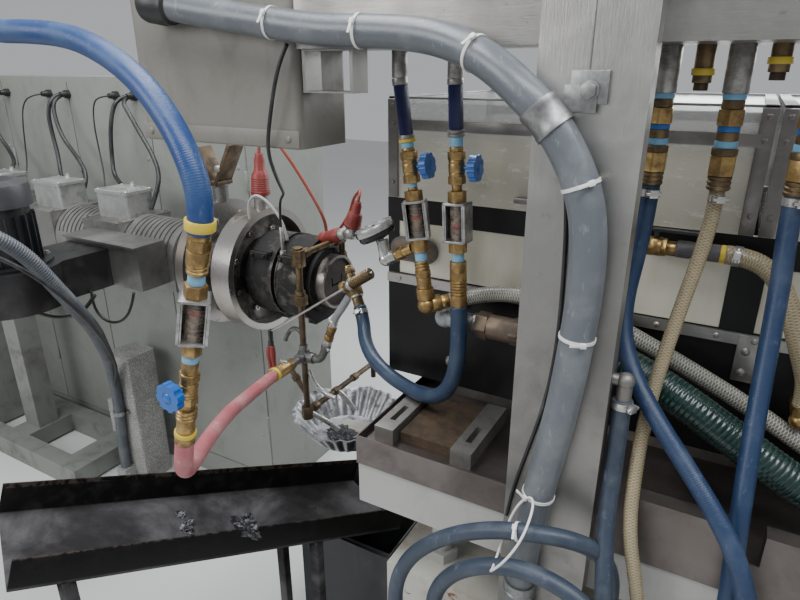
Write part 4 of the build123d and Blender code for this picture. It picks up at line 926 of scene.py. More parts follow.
def tank_elbow(name, x, y, z, r, out, extra=(), look=BRASS):
    """An elbow from the tank's front that turns along X; extra bars are (x0, x1, r, sides, finish)."""
    parts = [
        painted_ball(name, r + 0.003, (0, 0, 0), look), wall_leg(name, 30, r, TANK_FRONT - y, look),
        side_arm(name, 30, min(0, out), max(0, out), r, 0, look),
    ]
    for x0, x1, thick, sides, bar_look in extra:
        parts.append(side_arm(name, sides, x0, x1, thick, 0, bar_look))
    hang(name, parts, shift(x, y, z))


tank_elbow(
    "suction_elbow", -0.2845, 0.185, 1.14, 0.017, 0.1,
    ((0.02, 0.032, 0.0215, 30, PVC), (0.032, 0.066, 0.0185, 30, GREY), (0.062, 0.07, 0.021, 30, GREY),
     (0.07, 0.094, 0.0275, 6, DUSTY), (0.094, 0.16, 0.024, 30, DUSTY), (0.14, 0.156, 0.0265, 6, DUSTY)),
    PVC,
)
tank_elbow("suction_return", 0.6755, 0.123, 0.962, 0.024, -0.05, (), BRONZE)
tank_elbow("braided_return", 0.5555, 0.188, 1.002, 0.013, -0.036)
parts = [placed(part, shift(0, 0, 0.026)) for part in chain("vacuum_return", ((0, 26, 11, BRASS),))]
parts.append(painted_ball("vacuum_return", 0.014, (0, 0, 0), BRASS))
parts.append(wall_leg("vacuum_return", 30, 0.011, 0.07, BRASS))
hang("vacuum_return", parts, shift(0.3255, 0.185, 1.088))


# Flow meters: square steel frames round a clear tube, with a float that rides on the water and a
# plain scale beside it.
frame_steel = worn_metal("meter_steel", (0.46, 0.46, 0.45), (0.25, 0.24, 0.23), 0.32)
float_red = plain_plastic("red_float", (0.55, 0.035, 0.03), 0.35)
gauge_black = plain_plastic("gauge_black", (0.012, 0.012, 0.013), 0.25)
scale_ink = plain_plastic("scale_ink", (0.05, 0.05, 0.05), 0.5)
tube_clear, shader, place = new_finish("sight_glass", transmission_weight=0.0, coat_weight=0.6)
murk = place.noise(60, 4).between(0.4, 0.7)
lay(
    shader, base_color=murk.choose((0.2, 0.16, 0.15), (0.34, 0.28, 0.2)),
    alpha=0.22 + 0.25 * murk, roughness=0.08 + 0.2 * murk,
)


meter_coil = worn_metal("meter_coil", (0.46, 0.3, 0.19), (0.24, 0.15, 0.09), 0.35)
COIL_PITCH = 0.011


def flow_meter(name, matrix, middle, height, level, turn, backed=True):
    """A meter's frame, the clear tube in it with its red float, and the scale lines beside it.
    Behind the tube there is a black back where told."""
    place = matrix @ shift(0, 0, middle) @ turn_by(turn, "Z")
    half = height / 2
    wall, wide, deep = 0.0045, 0.044, 0.036
    opening = height - 2 * wall
    frame_parts = [box_piece(name, (wide - 2 * wall, 0.0015, opening), (0, deep / 2 - 0.002, 0), 0.0003)]
    for side in (-1, 1):
        upright_x, bezel_at = side * (wide - wall) / 2, (side * 0.0162, -deep / 2 + 0.0012, 0)
        frame_parts += [
            box_piece(name, (wall, deep, height), (upright_x, 0, 0), 0.0012),
            box_piece(name, (wide, deep, wall), (0, 0, side * (half - wall / 2)), 0.0012),
            box_piece(name, (0.0022, 0.0015, opening), bezel_at, 0.0004),
        ]
    frame_piece = placed(joined(name + "_frame", frame_parts), place)
    settle(frame_piece, [frame_steel], instead_of=["flow_meters"])
    glass = ring_piece(name, 0.0122, 0.014, -half + 0.005, half - 0.005, 32)
    settle(placed(glass, place), [tube_clear])
    if backed:
        back = box_piece(name, (wide - 2 * wall, 0.0012, opening), (0, deep / 2 - 0.004, 0), 0.0003)
        settle(placed(back, place), [gauge_black])
    bob = turned(name + "_float", [
        (0, -0.011), (0.0055, -0.009), (0.0095, 0.002), (0.0112, 0.006), (0.0112, 0.011), (0.0088, 0.0125),
        (0, 0.0125),
    ], 28)
    settle(placed(bob, place @ shift(0, 0, level)), [float_red])
    coil = []
    for k in range(int(height / COIL_PITCH) - 1):
        coil.append(ring_piece(name, 0.0112, 0.0128, -0.0009, 0.0009, 28))
        lean = shift(0, 0, -half + 0.014 + COIL_PITCH * k) @ Matrix.Rotation(0.16, 4, "Y")
        coil[-1].data.transform(lean)
    settle(placed(joined(name + "_coil", coil), place), [meter_coil])
    lines = []
    for k in range(8):
        size = (0.004 if k % 2 else 0.006, 0.0005, 0.0009)
        lines.append(box_piece(name, size, (0.012, -0.0148, k * 0.0062 - 0.022), 0.0001, 1))
    settle(placed(joined(name + "_scale", lines), place), [scale_ink])


flow_meter("left_meter", left_at, -0.213 - 0.036, 0.072, -0.004, 22)
flow_meter("right_meter", right_at, -0.206 - 0.036, 0.072, -0.012, 0)
flow_meter("hanging_meter", hang_at, -0.096 - 0.037, 0.074, 0.006, 44, False)

# Valve wheels: lobed blue plastic on a steel stem.
wheel_blue = plain_plastic("wheel_plastic", (0.008, 0.1, 0.38), 0.28, specular_ior_level=0.6)
for k in (1, 2, 3):
    dress(f"valve_wheel_{k}", wheel_blue)

# Pressure gauge: a black case with a bright rim, tipped back to be read from above, on a chrome
# elbow from the drop's tee.
chrome = worn_metal("chrome", (0.62, 0.62, 0.61), (0.36, 0.35, 0.33), 0.16)
gauge_at = shift(-0.4145, 0.139, 1.308) @ turn_by(8, "X")
gauge_at = gauge_at @ turn_by(-24, "Y")
case = turned("gauge_case", [
    (0, -0.016), (0.012, -0.016), (0.0335, -0.011), (0.0365, -0.007), (0.0365, 0.002), (0, 0.002),
], 56)
rim = turned("gauge_rim", [
    (0.0365, 0.0015), (0.0392, 0.0015), (0.0395, 0.004), (0.0395, 0.012), (0.0382, 0.0145), (0.035, 0.0145),
    (0.0345, 0.0125), (0, 0.0125), (0, 0.0015), (0.0365, 0.0015),
], 56)
settle(placed(case, gauge_at), [gauge_black], instead_of=["pressure_gauge"])
neck = prism("gauge_neck", 6, 0.0085, -0.034, -0.014, 0.0008)
elbow_end = Vector((-0.3405, 0.145, 1.283))
neck_end = Vector((-0.3935, 0.141, 1.256))
neck_top = gauge_at @ Vector((0.006, 0, -0.018))
leg = prism("gauge_leg", 30, 0.0115, 0, (neck_end - neck_top).length, 0.0008)
heel = painted_ball("gauge_elbow", 0.014, tuple(neck_end), 0)
heel.data.materials.clear()
arm_at = facing(neck_end, elbow_end - neck_end)
arm = prism("gauge_arm", 6, 0.013, 0, 0.024, 0.0008)
leg_at = facing(neck_top, neck_end - neck_top)
chrome_parts = [
    placed(rim, gauge_at), placed(neck, gauge_at), placed(leg, leg_at), heel, placed(arm, arm_at),
]
settle(joined("gauge_elbow", chrome_parts), [chrome], instead_of=["pressure_gauge"])
nipple = []
for a, b, r, sides in ((0.024, 0.03, 0.01, 30), (0.03, 0.042, 0.0125, 6), (0.042, 0.062, 0.0105, 30)):
    nipple.append(placed(finished(prism("gauge_nipple", sides, r, a, b, 0.0006), BRASS), arm_at))
settle(joined("gauge_nipple", nipple), instead_of=["pressure_gauge"])
dial_face, shader, place = new_finish("dial_face", coat_weight=0.8, coat_roughness=0.05)
haze = place.noise(40, 4).between(0.4, 0.8)
lay(shader, base_color=haze.choose((0.3, 0.31, 0.31), (0.4, 0.39, 0.36)), roughness=0.3 + 0.2 * haze)
dial = turned("dial", [(0, 0.0126), (0.034, 0.0126), (0.034, 0.0132), (0, 0.0132)], 48)
settle(placed(dial, gauge_at), [dial_face])
marks = []
for k in range(19):
    turn = radians(225 - 15 * k)
    long = k % 3 == 0
    mark = box_piece("mark", (0.0056 if long else 0.0032, 0.0009, 0.0003), (0.029, 0, 0.0134), 0.0001, 1)
    marks.append(placed(mark, Matrix.Rotation(turn, 4, "Z")))
needle = box_piece("needle", (0.028, 0.0013, 0.0004), (0.009, 0, 0.0139), 0.0002, 1)
marks.append(placed(needle, turn_by(205, "Z")))
marks.append(prism("needle_hub", 20, 0.003, 0.0132, 0.0148, 0.0004))
settle(placed(joined("dial_marks", marks), gauge_at), [scale_ink])

# Vacuum valve on the tank's rim: a brass ball valve with a grey rubber sleeve on its outlet and a
# black lever on top, then a worm clamp on the vinyl hose.
vacuum_at = shift(0.0535, 0.215, 1.329)
parts = [
    painted_ball("vacuum_valve", 0.015, (0, 0, 0), BRASS),
    wall_leg("vacuum_valve", 6, 0.0115, 0.04, BRASS),
]
for x0, x1, r, sides, look in (
    (0.008, 0.012, 0.013, 30, BRASS), (0.012, 0.022, 0.0165, 6, BRASS), (0.022, 0.034, 0.0155, 30, BRASS),
    (0.034, 0.042, 0.0155, 6, BRASS), (0.042, 0.056, 0.011, 30, BRASS), (0.12, 0.128, 0.0145, 30, YELLOW),
):
    parts.append(side_arm("vacuum_valve", sides, x0, x1, r, 0, look))
hang("vacuum_valve_body", parts, vacuum_at, "vacuum_valve")
sleeve_grey = rubber("grey_sleeve", (0.075, 0.07, 0.075), (0.16, 0.15, 0.15), 0.5)
sleeve = turned("vacuum_sleeve", [
    (0, 0.056), (0.012, 0.056), (0.014, 0.058), (0.014, 0.076), (0.0132, 0.078), (0.0132, 0.082),
    (0.014, 0.084), (0.014, 0.118), (0.013, 0.12), (0, 0.12),
], 30)
sleeve = placed(sleeve, vacuum_at @ turn_by(90, "Y"))
settle(sleeve, [sleeve_grey], instead_of=["vacuum_valve"])
dress("valve_lever", plain_plastic("lever_black", (0.02, 0.02, 0.022), 0.35))


# Worm clamps: slotted bright bands with a screw housing, on the ends of the hoses, and the tie of
# the looped hose.
def worm_clamp(name, hose, at, radius, face, width=0.011):
    """A band round a hose near a place, its screw turned towards a direction."""
    name = "clamp_" + name
    band = ring_piece(name, radius + 0.0002, radius + 0.0012, -width / 2, width / 2, 36)
    housing = box_piece(name, (0.0075, 0.013, width * 1.1), (radius + 0.0045, 0, 0), 0.0012)
    screw = prism(name, 6, 0.0034, -0.011, 0.011, 0.0005)
    screw.data.transform(shift(radius + 0.005, 0, 0) @ turn_by(90, "X"))
    clamp = placed(joined(name, [band, housing, screw]), around(LINES[hose], at, face))
    settle(clamp, [bright_steel])


worm_clamp("loop", "loop", (0.0875, 0.005, 1.142), 0.0135, (1, -0.6, 0))
worm_clamp("vacuum", "vacuum", (0.199, 0.215, 1.329), 0.015, (0, -1, 0.3))
worm_clamp("pink_low", "pink", (-0.7605, 0.243, 0.882), 0.015, (0, 0, 1))
worm_clamp("die", "die", (-0.572, 0.322, 1.047), 0.016, (0, -1, 0.4))
worm_clamp("yellow", "yellow", (0.1555, 0.145, 1.428), 0.0105, (0.5, -1, 0), 0.009)
worm_clamp("blue_2", "blue_2", (0.2505, 0.145, 1.43), 0.0135, (0.5, -1, 0))
worm_clamp("blue_1", "blue_1", (0.0655, 0.145, 1.43), 0.0135, (0.5, -1, 0))
worm_clamp("braided", "braided", (-0.262, 0.181, 1.183), 0.015, (0.2, -1, 0.5))
worm_clamp("suction", "suction", (-0.116, 0.185, 1.14), 0.0295, (0, -1, 0.4), 0.014)
tie = placed(cable_tie(0.0135), around(LINES["loop"], (-0.0255, -0.095, 0.944), (0, -0.6, 1)))
tie.name = "loop_tie"
settle(tie, [nylon])

# Die head: a flange, a thick clamp ring with a recess, and the adapter in its heater bands, all
# dark with scorched plastic, with the nose at the front.
AXIS_X, AXIS_Y, AXIS_Z = -0.7745, 0.475, 1.05


def scorched(name, colour, crust, gloss, crust_from=0.5, rim=None, soot=0.0):
    """Hot steel: blued and browned, with baked black crust in patches, and all over inside a rim."""
    material, shader, place = new_finish(name, metallic=0.9)
    crust_noise = place.noise(13, 8, 0.7, 0.3)
    baked = crust_noise.between(crust_from, crust_from + 0.1)
    if rim:
        across = place.stretched((0, 1, 1))
        off = place.node("VectorMath", {0: across, 1: (0, AXIS_Y, AXIS_Z)}, {"operation": "SUBTRACT"})
        out = place.node("VectorMath", {0: off}, {"operation": "LENGTH"}, 1)
        inner = (out + 0.012 * crust_noise).between(rim + 0.008, rim + 0.004)
        inner_soot = soot + (1 - soot) * crust_noise.between(0.3, 0.62)
        baked = baked.math("MAXIMUM", baked, inner * inner_soot)
    tint = place.noise(5, 4).between(0.35, 0.7)
    base = tint.choose(colour, (colour[0] * 0.7, colour[1] * 0.62, colour[2] * 0.55))
    base = baked.choose(base, crust)
    lay(
        shader, base_color=base, roughness=gloss + 0.35 * baked + 0.1 * tint, metallic=0.95 - 0.8 * baked,
        relief=(baked * 0.6 + place.noise(150, 5) * 0.5, 0.0006),
    )
    return material


ring_steel = scorched("ring_steel", (0.42, 0.41, 0.4), (0.03, 0.027, 0.025), 0.26, 0.6)
adapter_steel = scorched("adapter_steel", (0.11, 0.105, 0.1), (0.012, 0.0105, 0.01), 0.32, 0.4)
nose_steel = scorched("nose_steel", (0.3, 0.29, 0.28), (0.035, 0.028, 0.024), 0.3, 0.5, 0.067, 0.8)
ring_scorched = scorched("ring_scorched", (0.46, 0.44, 0.42), (0.034, 0.029, 0.026), 0.26, 0.6, 0.163, 0.3)
dress("clamp_ring", ring_scorched)
dress("rear_flange", ring_steel)
dress("die_adapter", adapter_steel)
dress("die_nose", nose_steel)


def on_axis(x, turn=0.0, radius=0.0):
    """A matrix facing downstream on a circle round the extrusion axis, or on the axis itself."""
    at = (AXIS_X + x, AXIS_Y + radius * cos(turn), AXIS_Z + radius * sin(turn))
    return facing(at, (1, 0, 0))


ring_bolts = []
for k in range(8):
    turn = 2 * pi * (k + 0.5) / 8
    ring_bolts.append(placed(hex_bolt("bolt", 0.024, 0.013, 0.014), on_axis(-0.37, turn, 0.145)))
    socket = turned("bolt", [
        (0, 0.01), (0.004, 0.01), (0.0045, 0.013), (0.0085, 0.013), (0.0095, 0.012), (0.0095, 0), (0, 0),
    ], 24)
    ring_bolts.append(placed(socket, on_axis(-0.247, turn, 0.12)))
settle(joined("head_bolts", ring_bolts), [ring_steel])

# Heater bands: mica-filled steel bands drawn tight by screws, with a dark rim at each edge.
band_parts = []
for x0, x1 in ((-0.2, -0.112), (-0.1, -0.016)):
    for x in (x0, x1 - 0.004):
        band_parts.append(placed(ring_piece("rim", 0.1165, 0.1196, 0, 0.004, 56), on_axis(x)))
    middle = AXIS_X + (x0 + x1) / 2
    lug_z = AXIS_Z + 0.078
    for side in (-1, 1):
        lug_y = AXIS_Y - 0.098 + side * 0.009
        band_parts.append(box_piece("lug", (0.06, 0.01, 0.018), (middle, lug_y, lug_z), 0.0015))
    for x in (middle - 0.02, middle + 0.02):
        screw = hex_bolt("screw", 0.011, 0.006)
        band_parts.append(placed(screw, on_front(x, AXIS_Y - 0.112, lug_z)))
settle(joined("heater_band_rims", band_parts), [adapter_steel])


# Barrel with its heating zones: flat-lidded sections and slotted round covers of bare sheet steel,
# and a cast terminal box on each zone with a screw in each corner of its lid.
jacket_steel = stainless("jacket_steel", (0.34, 0.335, 0.32), (0.2, 0.185, 0.165), (9, 9, 1), 12, 0.36)
cast_grey = worn_metal("cast_aluminium", (0.56, 0.56, 0.55), (0.34, 0.34, 0.33), 0.4, 30)
dress("barrel", steel)
dress("heater_jackets", jacket_steel)
dress("barrel_cover", jacket_steel)
dress("terminal_boxes", cast_grey)
ZONES_X = [(-0.826 - 0.35 * k) + AXIS_X for k in range(3)]
BOX_TOP = 1.145 + 0.088
lid_parts, strap_parts = [], []
for x in ZONES_X:
    for dx in (-0.068, 0.068):
        for dy in (-0.046, 0.046):
            head = screw_head("screw", 0.0048, 0.003, (0.003, 0.0028), 0.0012, 18)
            lid_parts.append(placed(head, shift(x + dx, AXIS_Y + dy, BOX_TOP)))
    lid_parts.append(box_piece("lid_step", (0.118, 0.078, 0.0022), (x, AXIS_Y, BOX_TOP + 0.0011), 0.001))
    nut = prism("gland_nut", 6, 0.0105, 0, 0.009, 0.0008)
    lid_parts.append(placed(nut, shift(x, AXIS_Y + 0.0385, BOX_TOP)))
    for edge in (-0.087, 0.082):
        strap_parts.append(box_piece("strap", (0.012, 0.214, 0.0016), (x + edge, AXIS_Y, 1.1458), 0.0005))
        for dy in (-0.092, 0.092):
            nut = hex_bolt("nut", 0.013, 0.007, 0.008)
            strap_parts.append(placed(nut, shift(x + edge, AXIS_Y + dy, 1.1466)))
settle(joined("box_lid_screws", lid_parts), [cast_grey])
settle(joined("jacket_straps", strap_parts), [steel])

# Blower: black painted sheet duct and volute, and an upright motor with cast ribs under a grey cap
# that carries a bare plate.
duct_black = enamel("duct_black", (0.011, 0.011, 0.012), (0.07, 0.065, 0.06), 0.34, 0.5)
motor_black = enamel("motor_black", (0.012, 0.013, 0.015), (0.08, 0.075, 0.07), 0.3, 0.5)
dress("fan_duct", duct_black)
dress("fan_motor", motor_black)
MOTOR_X, MOTOR_Y = -1.5445, 0.035
cap = turned("motor_cap", [
    (0.0935, 1.262), (0.0935, 1.31), (0.09, 1.32), (0.072, 1.328), (0.066, 1.3305), (0.06, 1.3305),
    (0.056, 1.327), (0.02, 1.327), (0.016, 1.3305), (0, 1.3305),
], 48)
cap_grey = enamel("motor_cap_grey", (0.04, 0.043, 0.047), (0.1, 0.095, 0.09), 0.34, 0.4)
settle(placed(cap, shift(MOTOR_X, MOTOR_Y, 0)), [cap_grey])
plate_at = (MOTOR_X + 0.012, MOTOR_Y - 0.0935, 1.205)
motor_trim = [box_piece("motor_plate", (0.062, 0.0015, 0.04), plate_at, 0.0006)]
for dx in (-0.014, 0.038):
    rivet = turned("rivet", [(0, 0.0018), (0.0022, 0.0014), (0.003, 0), (0, 0)], 14)
    motor_trim.append(placed(rivet, on_front(MOTOR_X + dx, MOTOR_Y - 0.0942, 1.205)))
settle(joined("motor_plate", motor_trim), [bright_steel])
flange_bolts = []
for k in range(6):
    turn = 2 * pi * k / 6 + 0.3
    bolt_at = shift(MOTOR_X + 0.104 * cos(turn), MOTOR_Y + 0.104 * sin(turn), 1.108)
    flange_bolts.append(placed(hex_bolt("bolt", 0.014, 0.008, 0.009), bolt_at))
settle(joined("blower_bolts", flange_bolts), [steel])

# Control cabinet: a row of steel doors in grey-green enamel with narrow seams, small round cover
# buttons along each seam, a hinge pair on each door and black cable glands near the top.
cabinet_paint = enamel("cabinet_enamel", (0.245, 0.255, 0.232), (0.15, 0.145, 0.125), 0.4, 0.35)
gland_black = plain_plastic("gland_black", (0.018, 0.018, 0.018), 0.4)
dress("control_cabinet", cabinet_paint)
dress("cabinet_plugs", gland_black)
DOOR_WIDTH = (2.18 - 0.455) / 4
CABINET_X = -2.18 + AXIS_X
CABINET_FACE_Y = 0.665
cabinet_parts = []
for k in range(4):
    seam_x = CABINET_X + (k + 1) * DOOR_WIDTH
    for z in (0.28, 0.62, 0.96, 1.3):
        button = screw_head("button", 0.0072, 0.003, (0.005, 0.0026), 0.0008)
        cabinet_parts.append(placed(button, on_front(seam_x - 0.034, CABINET_FACE_Y, z)))
    for z in (0.34, 1.26):
        hinge = prism("hinge", 20, 0.0055, z - 0.032, z + 0.032, 0.0008)
        hinge.data.transform(shift(seam_x + 0.0005, CABINET_FACE_Y - 0.0045, 0))
        cabinet_parts.append(hinge)
settle(joined("cabinet_buttons", cabinet_parts), [cabinet_paint])

# Cables from the cabinet's glands: thin black jackets that drop in loops to the terminal boxes and
# the covers of the heating zones, each pushed into its own entry.
cable_black = rubber("cable_black", (0.012, 0.012, 0.013), (0.05, 0.05, 0.05), 0.36)


def cable(name, route, radius, material):
    """A thin cable along a route; the length of its line is worked out as well, and not used."""
    line = centreline(route, 0.005)
    piece = settle(tube(name, line, radius, 12), [material])
    length = sum((b - a).length for a, b in zip(line, line[1:]))


# Each run: its gland's x and z on the cabinet's gland plate, then the points it goes through.
GLAND_FACE_Y = 0.631
ZONE_CABLES = (
    ((-1.7185, 1.514), (
        (-1.7215, 0.594, 1.508), (-1.7335, 0.574, 1.462), (-1.7505, 0.568, 1.39), (-1.7535, 0.562, 1.31),
        (-1.7415, 0.55, 1.262), (-1.7025, 0.536, 1.236), (-1.6605, 0.527, 1.219),
    )),
    ((-1.7185, 1.508), (
        (-1.7005, 0.596, 1.5), (-1.6625, 0.588, 1.462), (-1.6105, 0.584, 1.392), (-1.5535, 0.574, 1.33),
        (-1.5135, 0.556, 1.27), (-1.5105, 0.53, 1.214), (-1.5165, 0.505, 1.165),
    )),
    ((-2.0915, 1.514), (
        (-2.0885, 0.596, 1.508), (-2.0985, 0.576, 1.455), (-2.0905, 0.572, 1.38), (-2.0705, 0.566, 1.31),
        (-2.0505, 0.552, 1.262), (-2.0305, 0.538, 1.238), (-2.0105, 0.527, 1.219),
    )),
    ((-2.0915, 1.508), (
        (-2.0865, 0.598, 1.498), (-2.0785, 0.586, 1.44), (-2.0385, 0.578, 1.36), (-1.9685, 0.572, 1.305),
        (-1.9105, 0.56, 1.252), (-1.8905, 0.535, 1.205), (-1.8905, 0.505, 1.165),
    )),
    ((-2.4835, 1.514), (
        (-2.4905, 0.594, 1.505), (-2.5005, 0.588, 1.44), (-2.4905, 0.59, 1.36), (-2.4305, 0.588, 1.3),
        (-2.3785, 0.574, 1.258), (-2.3585, 0.548, 1.235), (-2.3345, 0.527, 1.219),
    )),
)
SENSOR_CABLES = (
    ((-2.2035, 1.514), (
        (-2.2475, 0.606, 1.508), (-2.2985, 0.604, 1.47), (-2.3185, 0.602, 1.4), (-2.3255, 0.598, 1.32),
        (-2.3285, 0.59, 1.235), (-2.3225, 0.566, 1.19), (-2.3185, 0.545, 1.16), (-2.3185, 0.53, 1.13),
    )),
    ((-1.8085, 1.514), (
        (-1.8405, 0.606, 1.512), (-1.8705, 0.604, 1.48), (-1.8795, 0.602, 1.41), (-1.8685, 0.598, 1.32),
        (-1.8455, 0.586, 1.24), (-1.8255, 0.562, 1.19), (-1.8185, 0.545, 1.16), (-1.8185, 0.53, 1.13),
    )),
)
for name, radius, runs in (("zone_cable", 0.0072, ZONE_CABLES), ("sensor_cable", 0.0026, SENSOR_CABLES)):
    for k, ((gland_x, gland_z), points) in enumerate(runs):
        cable(f"{name}_{k + 1}", [(gland_x, GLAND_FACE_Y, gland_z), *points], radius, cable_black)

# Blower leads: the motor's cable in a ribbed strain relief, which follows the conduit, and two that
# hang under the duct.
relief_at = facing((-1.4925, -0.052, 1.21), (0.86, -0.46, -0.1))
relief = turned("motor_relief", [
    (0, 0), (0.015, 0), (0.015, 0.018), (0.012, 0.022), (0.0105, 0.04), (0.0112, 0.044), (0.01, 0.048),
    (0.0106, 0.052), (0.0094, 0.056), (0.0098, 0.06), (0.0082, 0.066), (0, 0.066),
], 24)
settle(placed(relief, relief_at), [gland_black])
relief_end = relief_at @ Vector((0, 0, 0.066))
relief_way = relief_at.to_3x3() @ Vector((0, 0, 1))
cable("motor_cable", [
    tuple(relief_end), tuple(relief_end + relief_way * 0.035), (-1.374, -0.098, 1.192),
    (-1.345, -0.06, 1.16), (-1.337, -0.008, 1.106), (-1.334, 0.05, 1.03), (-1.352, 0.112, 0.938),
    (-1.41, 0.182, 0.842), (-1.508, 0.258, 0.752), (-1.616, 0.338, 0.664), (-1.7, 0.4, 0.585),
    (-1.752, 0.428, 0.52), (-1.77, 0.4265, 0.47),
], 0.0056, cable_black)
cable("duct_lead_1", [
    (-1.6405, 0.105, 0.99), (-1.6455, 0.105, 0.955), (-1.6305, 0.11, 0.926), (-1.5905, 0.12, 0.91),
    (-1.5305, 0.132, 0.906), (-1.4705, 0.146, 0.92), (-1.4205, 0.16, 0.95), (-1.3905, 0.172, 0.992),
], 0.0056, cable_black)
cable("duct_lead_2", [
    (-1.4305, 0.188, 0.992), (-1.4385, 0.192, 0.95), (-1.4305, 0.198, 0.912), (-1.3905, 0.204, 0.892),
    (-1.3425, 0.214, 0.904), (-1.3135, 0.228, 0.945), (-1.3105, 0.242, 0.992),
], 0.004, cable_black)

# Pedestal, extruder base, gearbox and motor: a speckled coating on the small box, with a bare
# plate and the clip of the conduit on it, and the machine's grey enamel on the rest.
speckle, shader, place = new_finish("speckled_coating")
grains = place.cells(210).between(0.25, 0.45)
cloud = place.noise(9, 5, 0.65).between(0.35, 0.7)
base = grains.choose((0.62, 0.62, 0.59), (0.3, 0.3, 0.28))
lay(
    shader, base_color=(cloud * 0.4).choose(base, (0.1, 0.095, 0.09)), roughness=0.5 + 0.2 * cloud,
    relief=(grains, 0.0003),
)
dress("pedestal", speckle)
machine_grey = enamel(
    "machine_enamel", (0.21, 0.215, 0.2), (0.085, 0.08, 0.07), 0.38, 0.8, (0.1, 0.085, 0.07), 0.68
)
for node in ("extruder_base", "gear_box", "drive_motor", "feed_throat"):
    dress(node, machine_grey)
dress("feed_hopper", beam_steel)
side_plate = [
    box_piece("side_box_lid", (0.004, 0.082, 0.138), (-1.9465, 0.54, 0.255), 0.0015),
    box_piece("side_box_plate", (0.0014, 0.052, 0.034), (-1.9493, 0.54, 0.262), 0.0005),
]
settle(joined("side_box_plate", side_plate), [cast_grey])
CLIP_AT = (-1.813, 0.4536, 0.33)
clip_point, _ = nearest(conduit_line, CLIP_AT)
clip_band = ring_piece("clip", 0.0212, 0.0232, -0.009, 0.009, 36)
clip_parts = [
    placed(clip_band, around(conduit_line, CLIP_AT, (0, 1, 0))),
    box_piece("clip_ear", (0.018, 0.004, 0.018), (clip_point.x + 0.03, 0.473, clip_point.z), 0.0008),
    placed(hex_bolt("clip_bolt", 0.012, 0.007), on_front(clip_point.x + 0.031, 0.471, clip_point.z)),
]
settle(joined("conduit_clip", clip_parts), [zinc])

# Sizing tank: black painted trough with frosted windows in its front, a bright strip screwed along
# under them, a bolt low on its front, and hinged hoods of scratched clear sheet in light frames.
tank_black = enamel(
    "tank_black", (0.008, 0.008, 0.0085), (0.03, 0.027, 0.024), 0.36, 0.45, specular_ior_level=0.3
)
dress("tank_body", tank_black)
frosted, shader, place = new_finish("frosted_window", coat_weight=0.4)
streaks = place.stretched((1, 1, 0.25)).noise(14, 5, 0.65).between(0.35, 0.75)
film = place.noise(4.5, 5, 0.6).between(0.3, 0.7)
base = film.choose((0.84, 0.81, 0.67), (0.7, 0.66, 0.52))
lay(
    shader, base_color=(streaks * 0.45).choose(base, (0.72, 0.71, 0.63)), alpha=0.86 + 0.12 * streaks,
    roughness=0.3 + 0.3 * streaks, relief=(streaks, 0.0003),
)
dress("tank_windows", frosted)
dress("rim_strip", strip_steel)
hood, shader, place = new_finish("scratched_hood", coat_weight=0.5)
scratches = place.stretched((0.5, 1, 1.6)).noise(46, 6, 0.75).between(0.52, 0.7)
film = place.noise(3.0, 5, 0.6).between(0.35, 0.75)
low = place.part(2).between(1.492, 1.472)
top_film = film.choose((0.66, 0.66, 0.65), (0.52, 0.52, 0.5))
base = low.choose(top_film, film.choose((0.72, 0.7, 0.6), (0.56, 0.53, 0.43)))
lay(
    shader, base_color=(scratches * 0.5).choose(base, (0.8, 0.8, 0.77)),
    alpha=0.34 + 0.3 * low + 0.18 * film + 0.16 * scratches,
    roughness=0.12 + 0.3 * scratches, relief=(scratches, 0.0002),
)
TANK_LEFT, BAY = -0.4545, 0.672
LID_BACK, LID_EDGE_Z, LID_RAIL_Z, GRIP_Z = 0.775, 1.5495, 1.4995, 1.375
frame_bar = stainless("hood_frame", (0.26, 0.25, 0.24), (0.15, 0.14, 0.125), (0.7, 12, 12), 9, 0.38)
for k in range(4):
    dress(f"lid_{k + 1}", hood)
    x0 = TANK_LEFT + BAY * k + 0.003
    x1 = x0 + BAY - 0.006
    middle = (x0 + x1) / 2
    bars = []
    for y, out in ((TANK_FRONT, -1), (LID_BACK, 1)):
        rail_size = (x1 - x0, 0.005, 0.02)
        bars.append(box_piece("bar", rail_size, (middle, y + out * 0.0024, LID_RAIL_Z), 0.001))
        for x in (x0 + 0.011, x1 - 0.011):
            bars.append(box_piece("stile", (0.022, 0.0045, 0.192), (x, y + out * 0.0022, 1.4508), 0.001))
    for y in (TANK_FRONT + 0.01, LID_BACK - 0.01):
        bars.append(box_piece("edge", (x1 - x0, 0.02, 0.004), (middle, y, LID_EDGE_Z), 0.001))
    for x in (x0 + 0.01, x1 - 0.01):
        end_size, y = (0.02, LID_BACK - TANK_FRONT, 0.004), (TANK_FRONT + LID_BACK) / 2
        bars.append(box_piece("end", end_size, (x, y, LID_EDGE_Z), 0.001))
    for x in (x0 + 0.011, x1 - 0.011):
        for z in (1.385, LID_RAIL_Z, 1.535):
            head = screw_head("screw", 0.0044, 0.0024, (0.0028, 0.0022), 0.001, 16)
            bars.append(placed(head, on_front(x, TANK_FRONT - 0.0048, z)))
    bars.append(box_piece("grip", (0.12, 0.01, 0.012), (middle, TANK_FRONT - 0.012, GRIP_Z), 0.003))
    for x in (middle - 0.052, middle + 0.052):
        bars.append(box_piece("grip_foot", (0.01, 0.01, 0.01), (x, TANK_FRONT - 0.005, GRIP_Z), 0.002))
    settle(joined(f"lid_{k + 1}_frame", bars), [frame_bar], body=f"lid_{k + 1}")

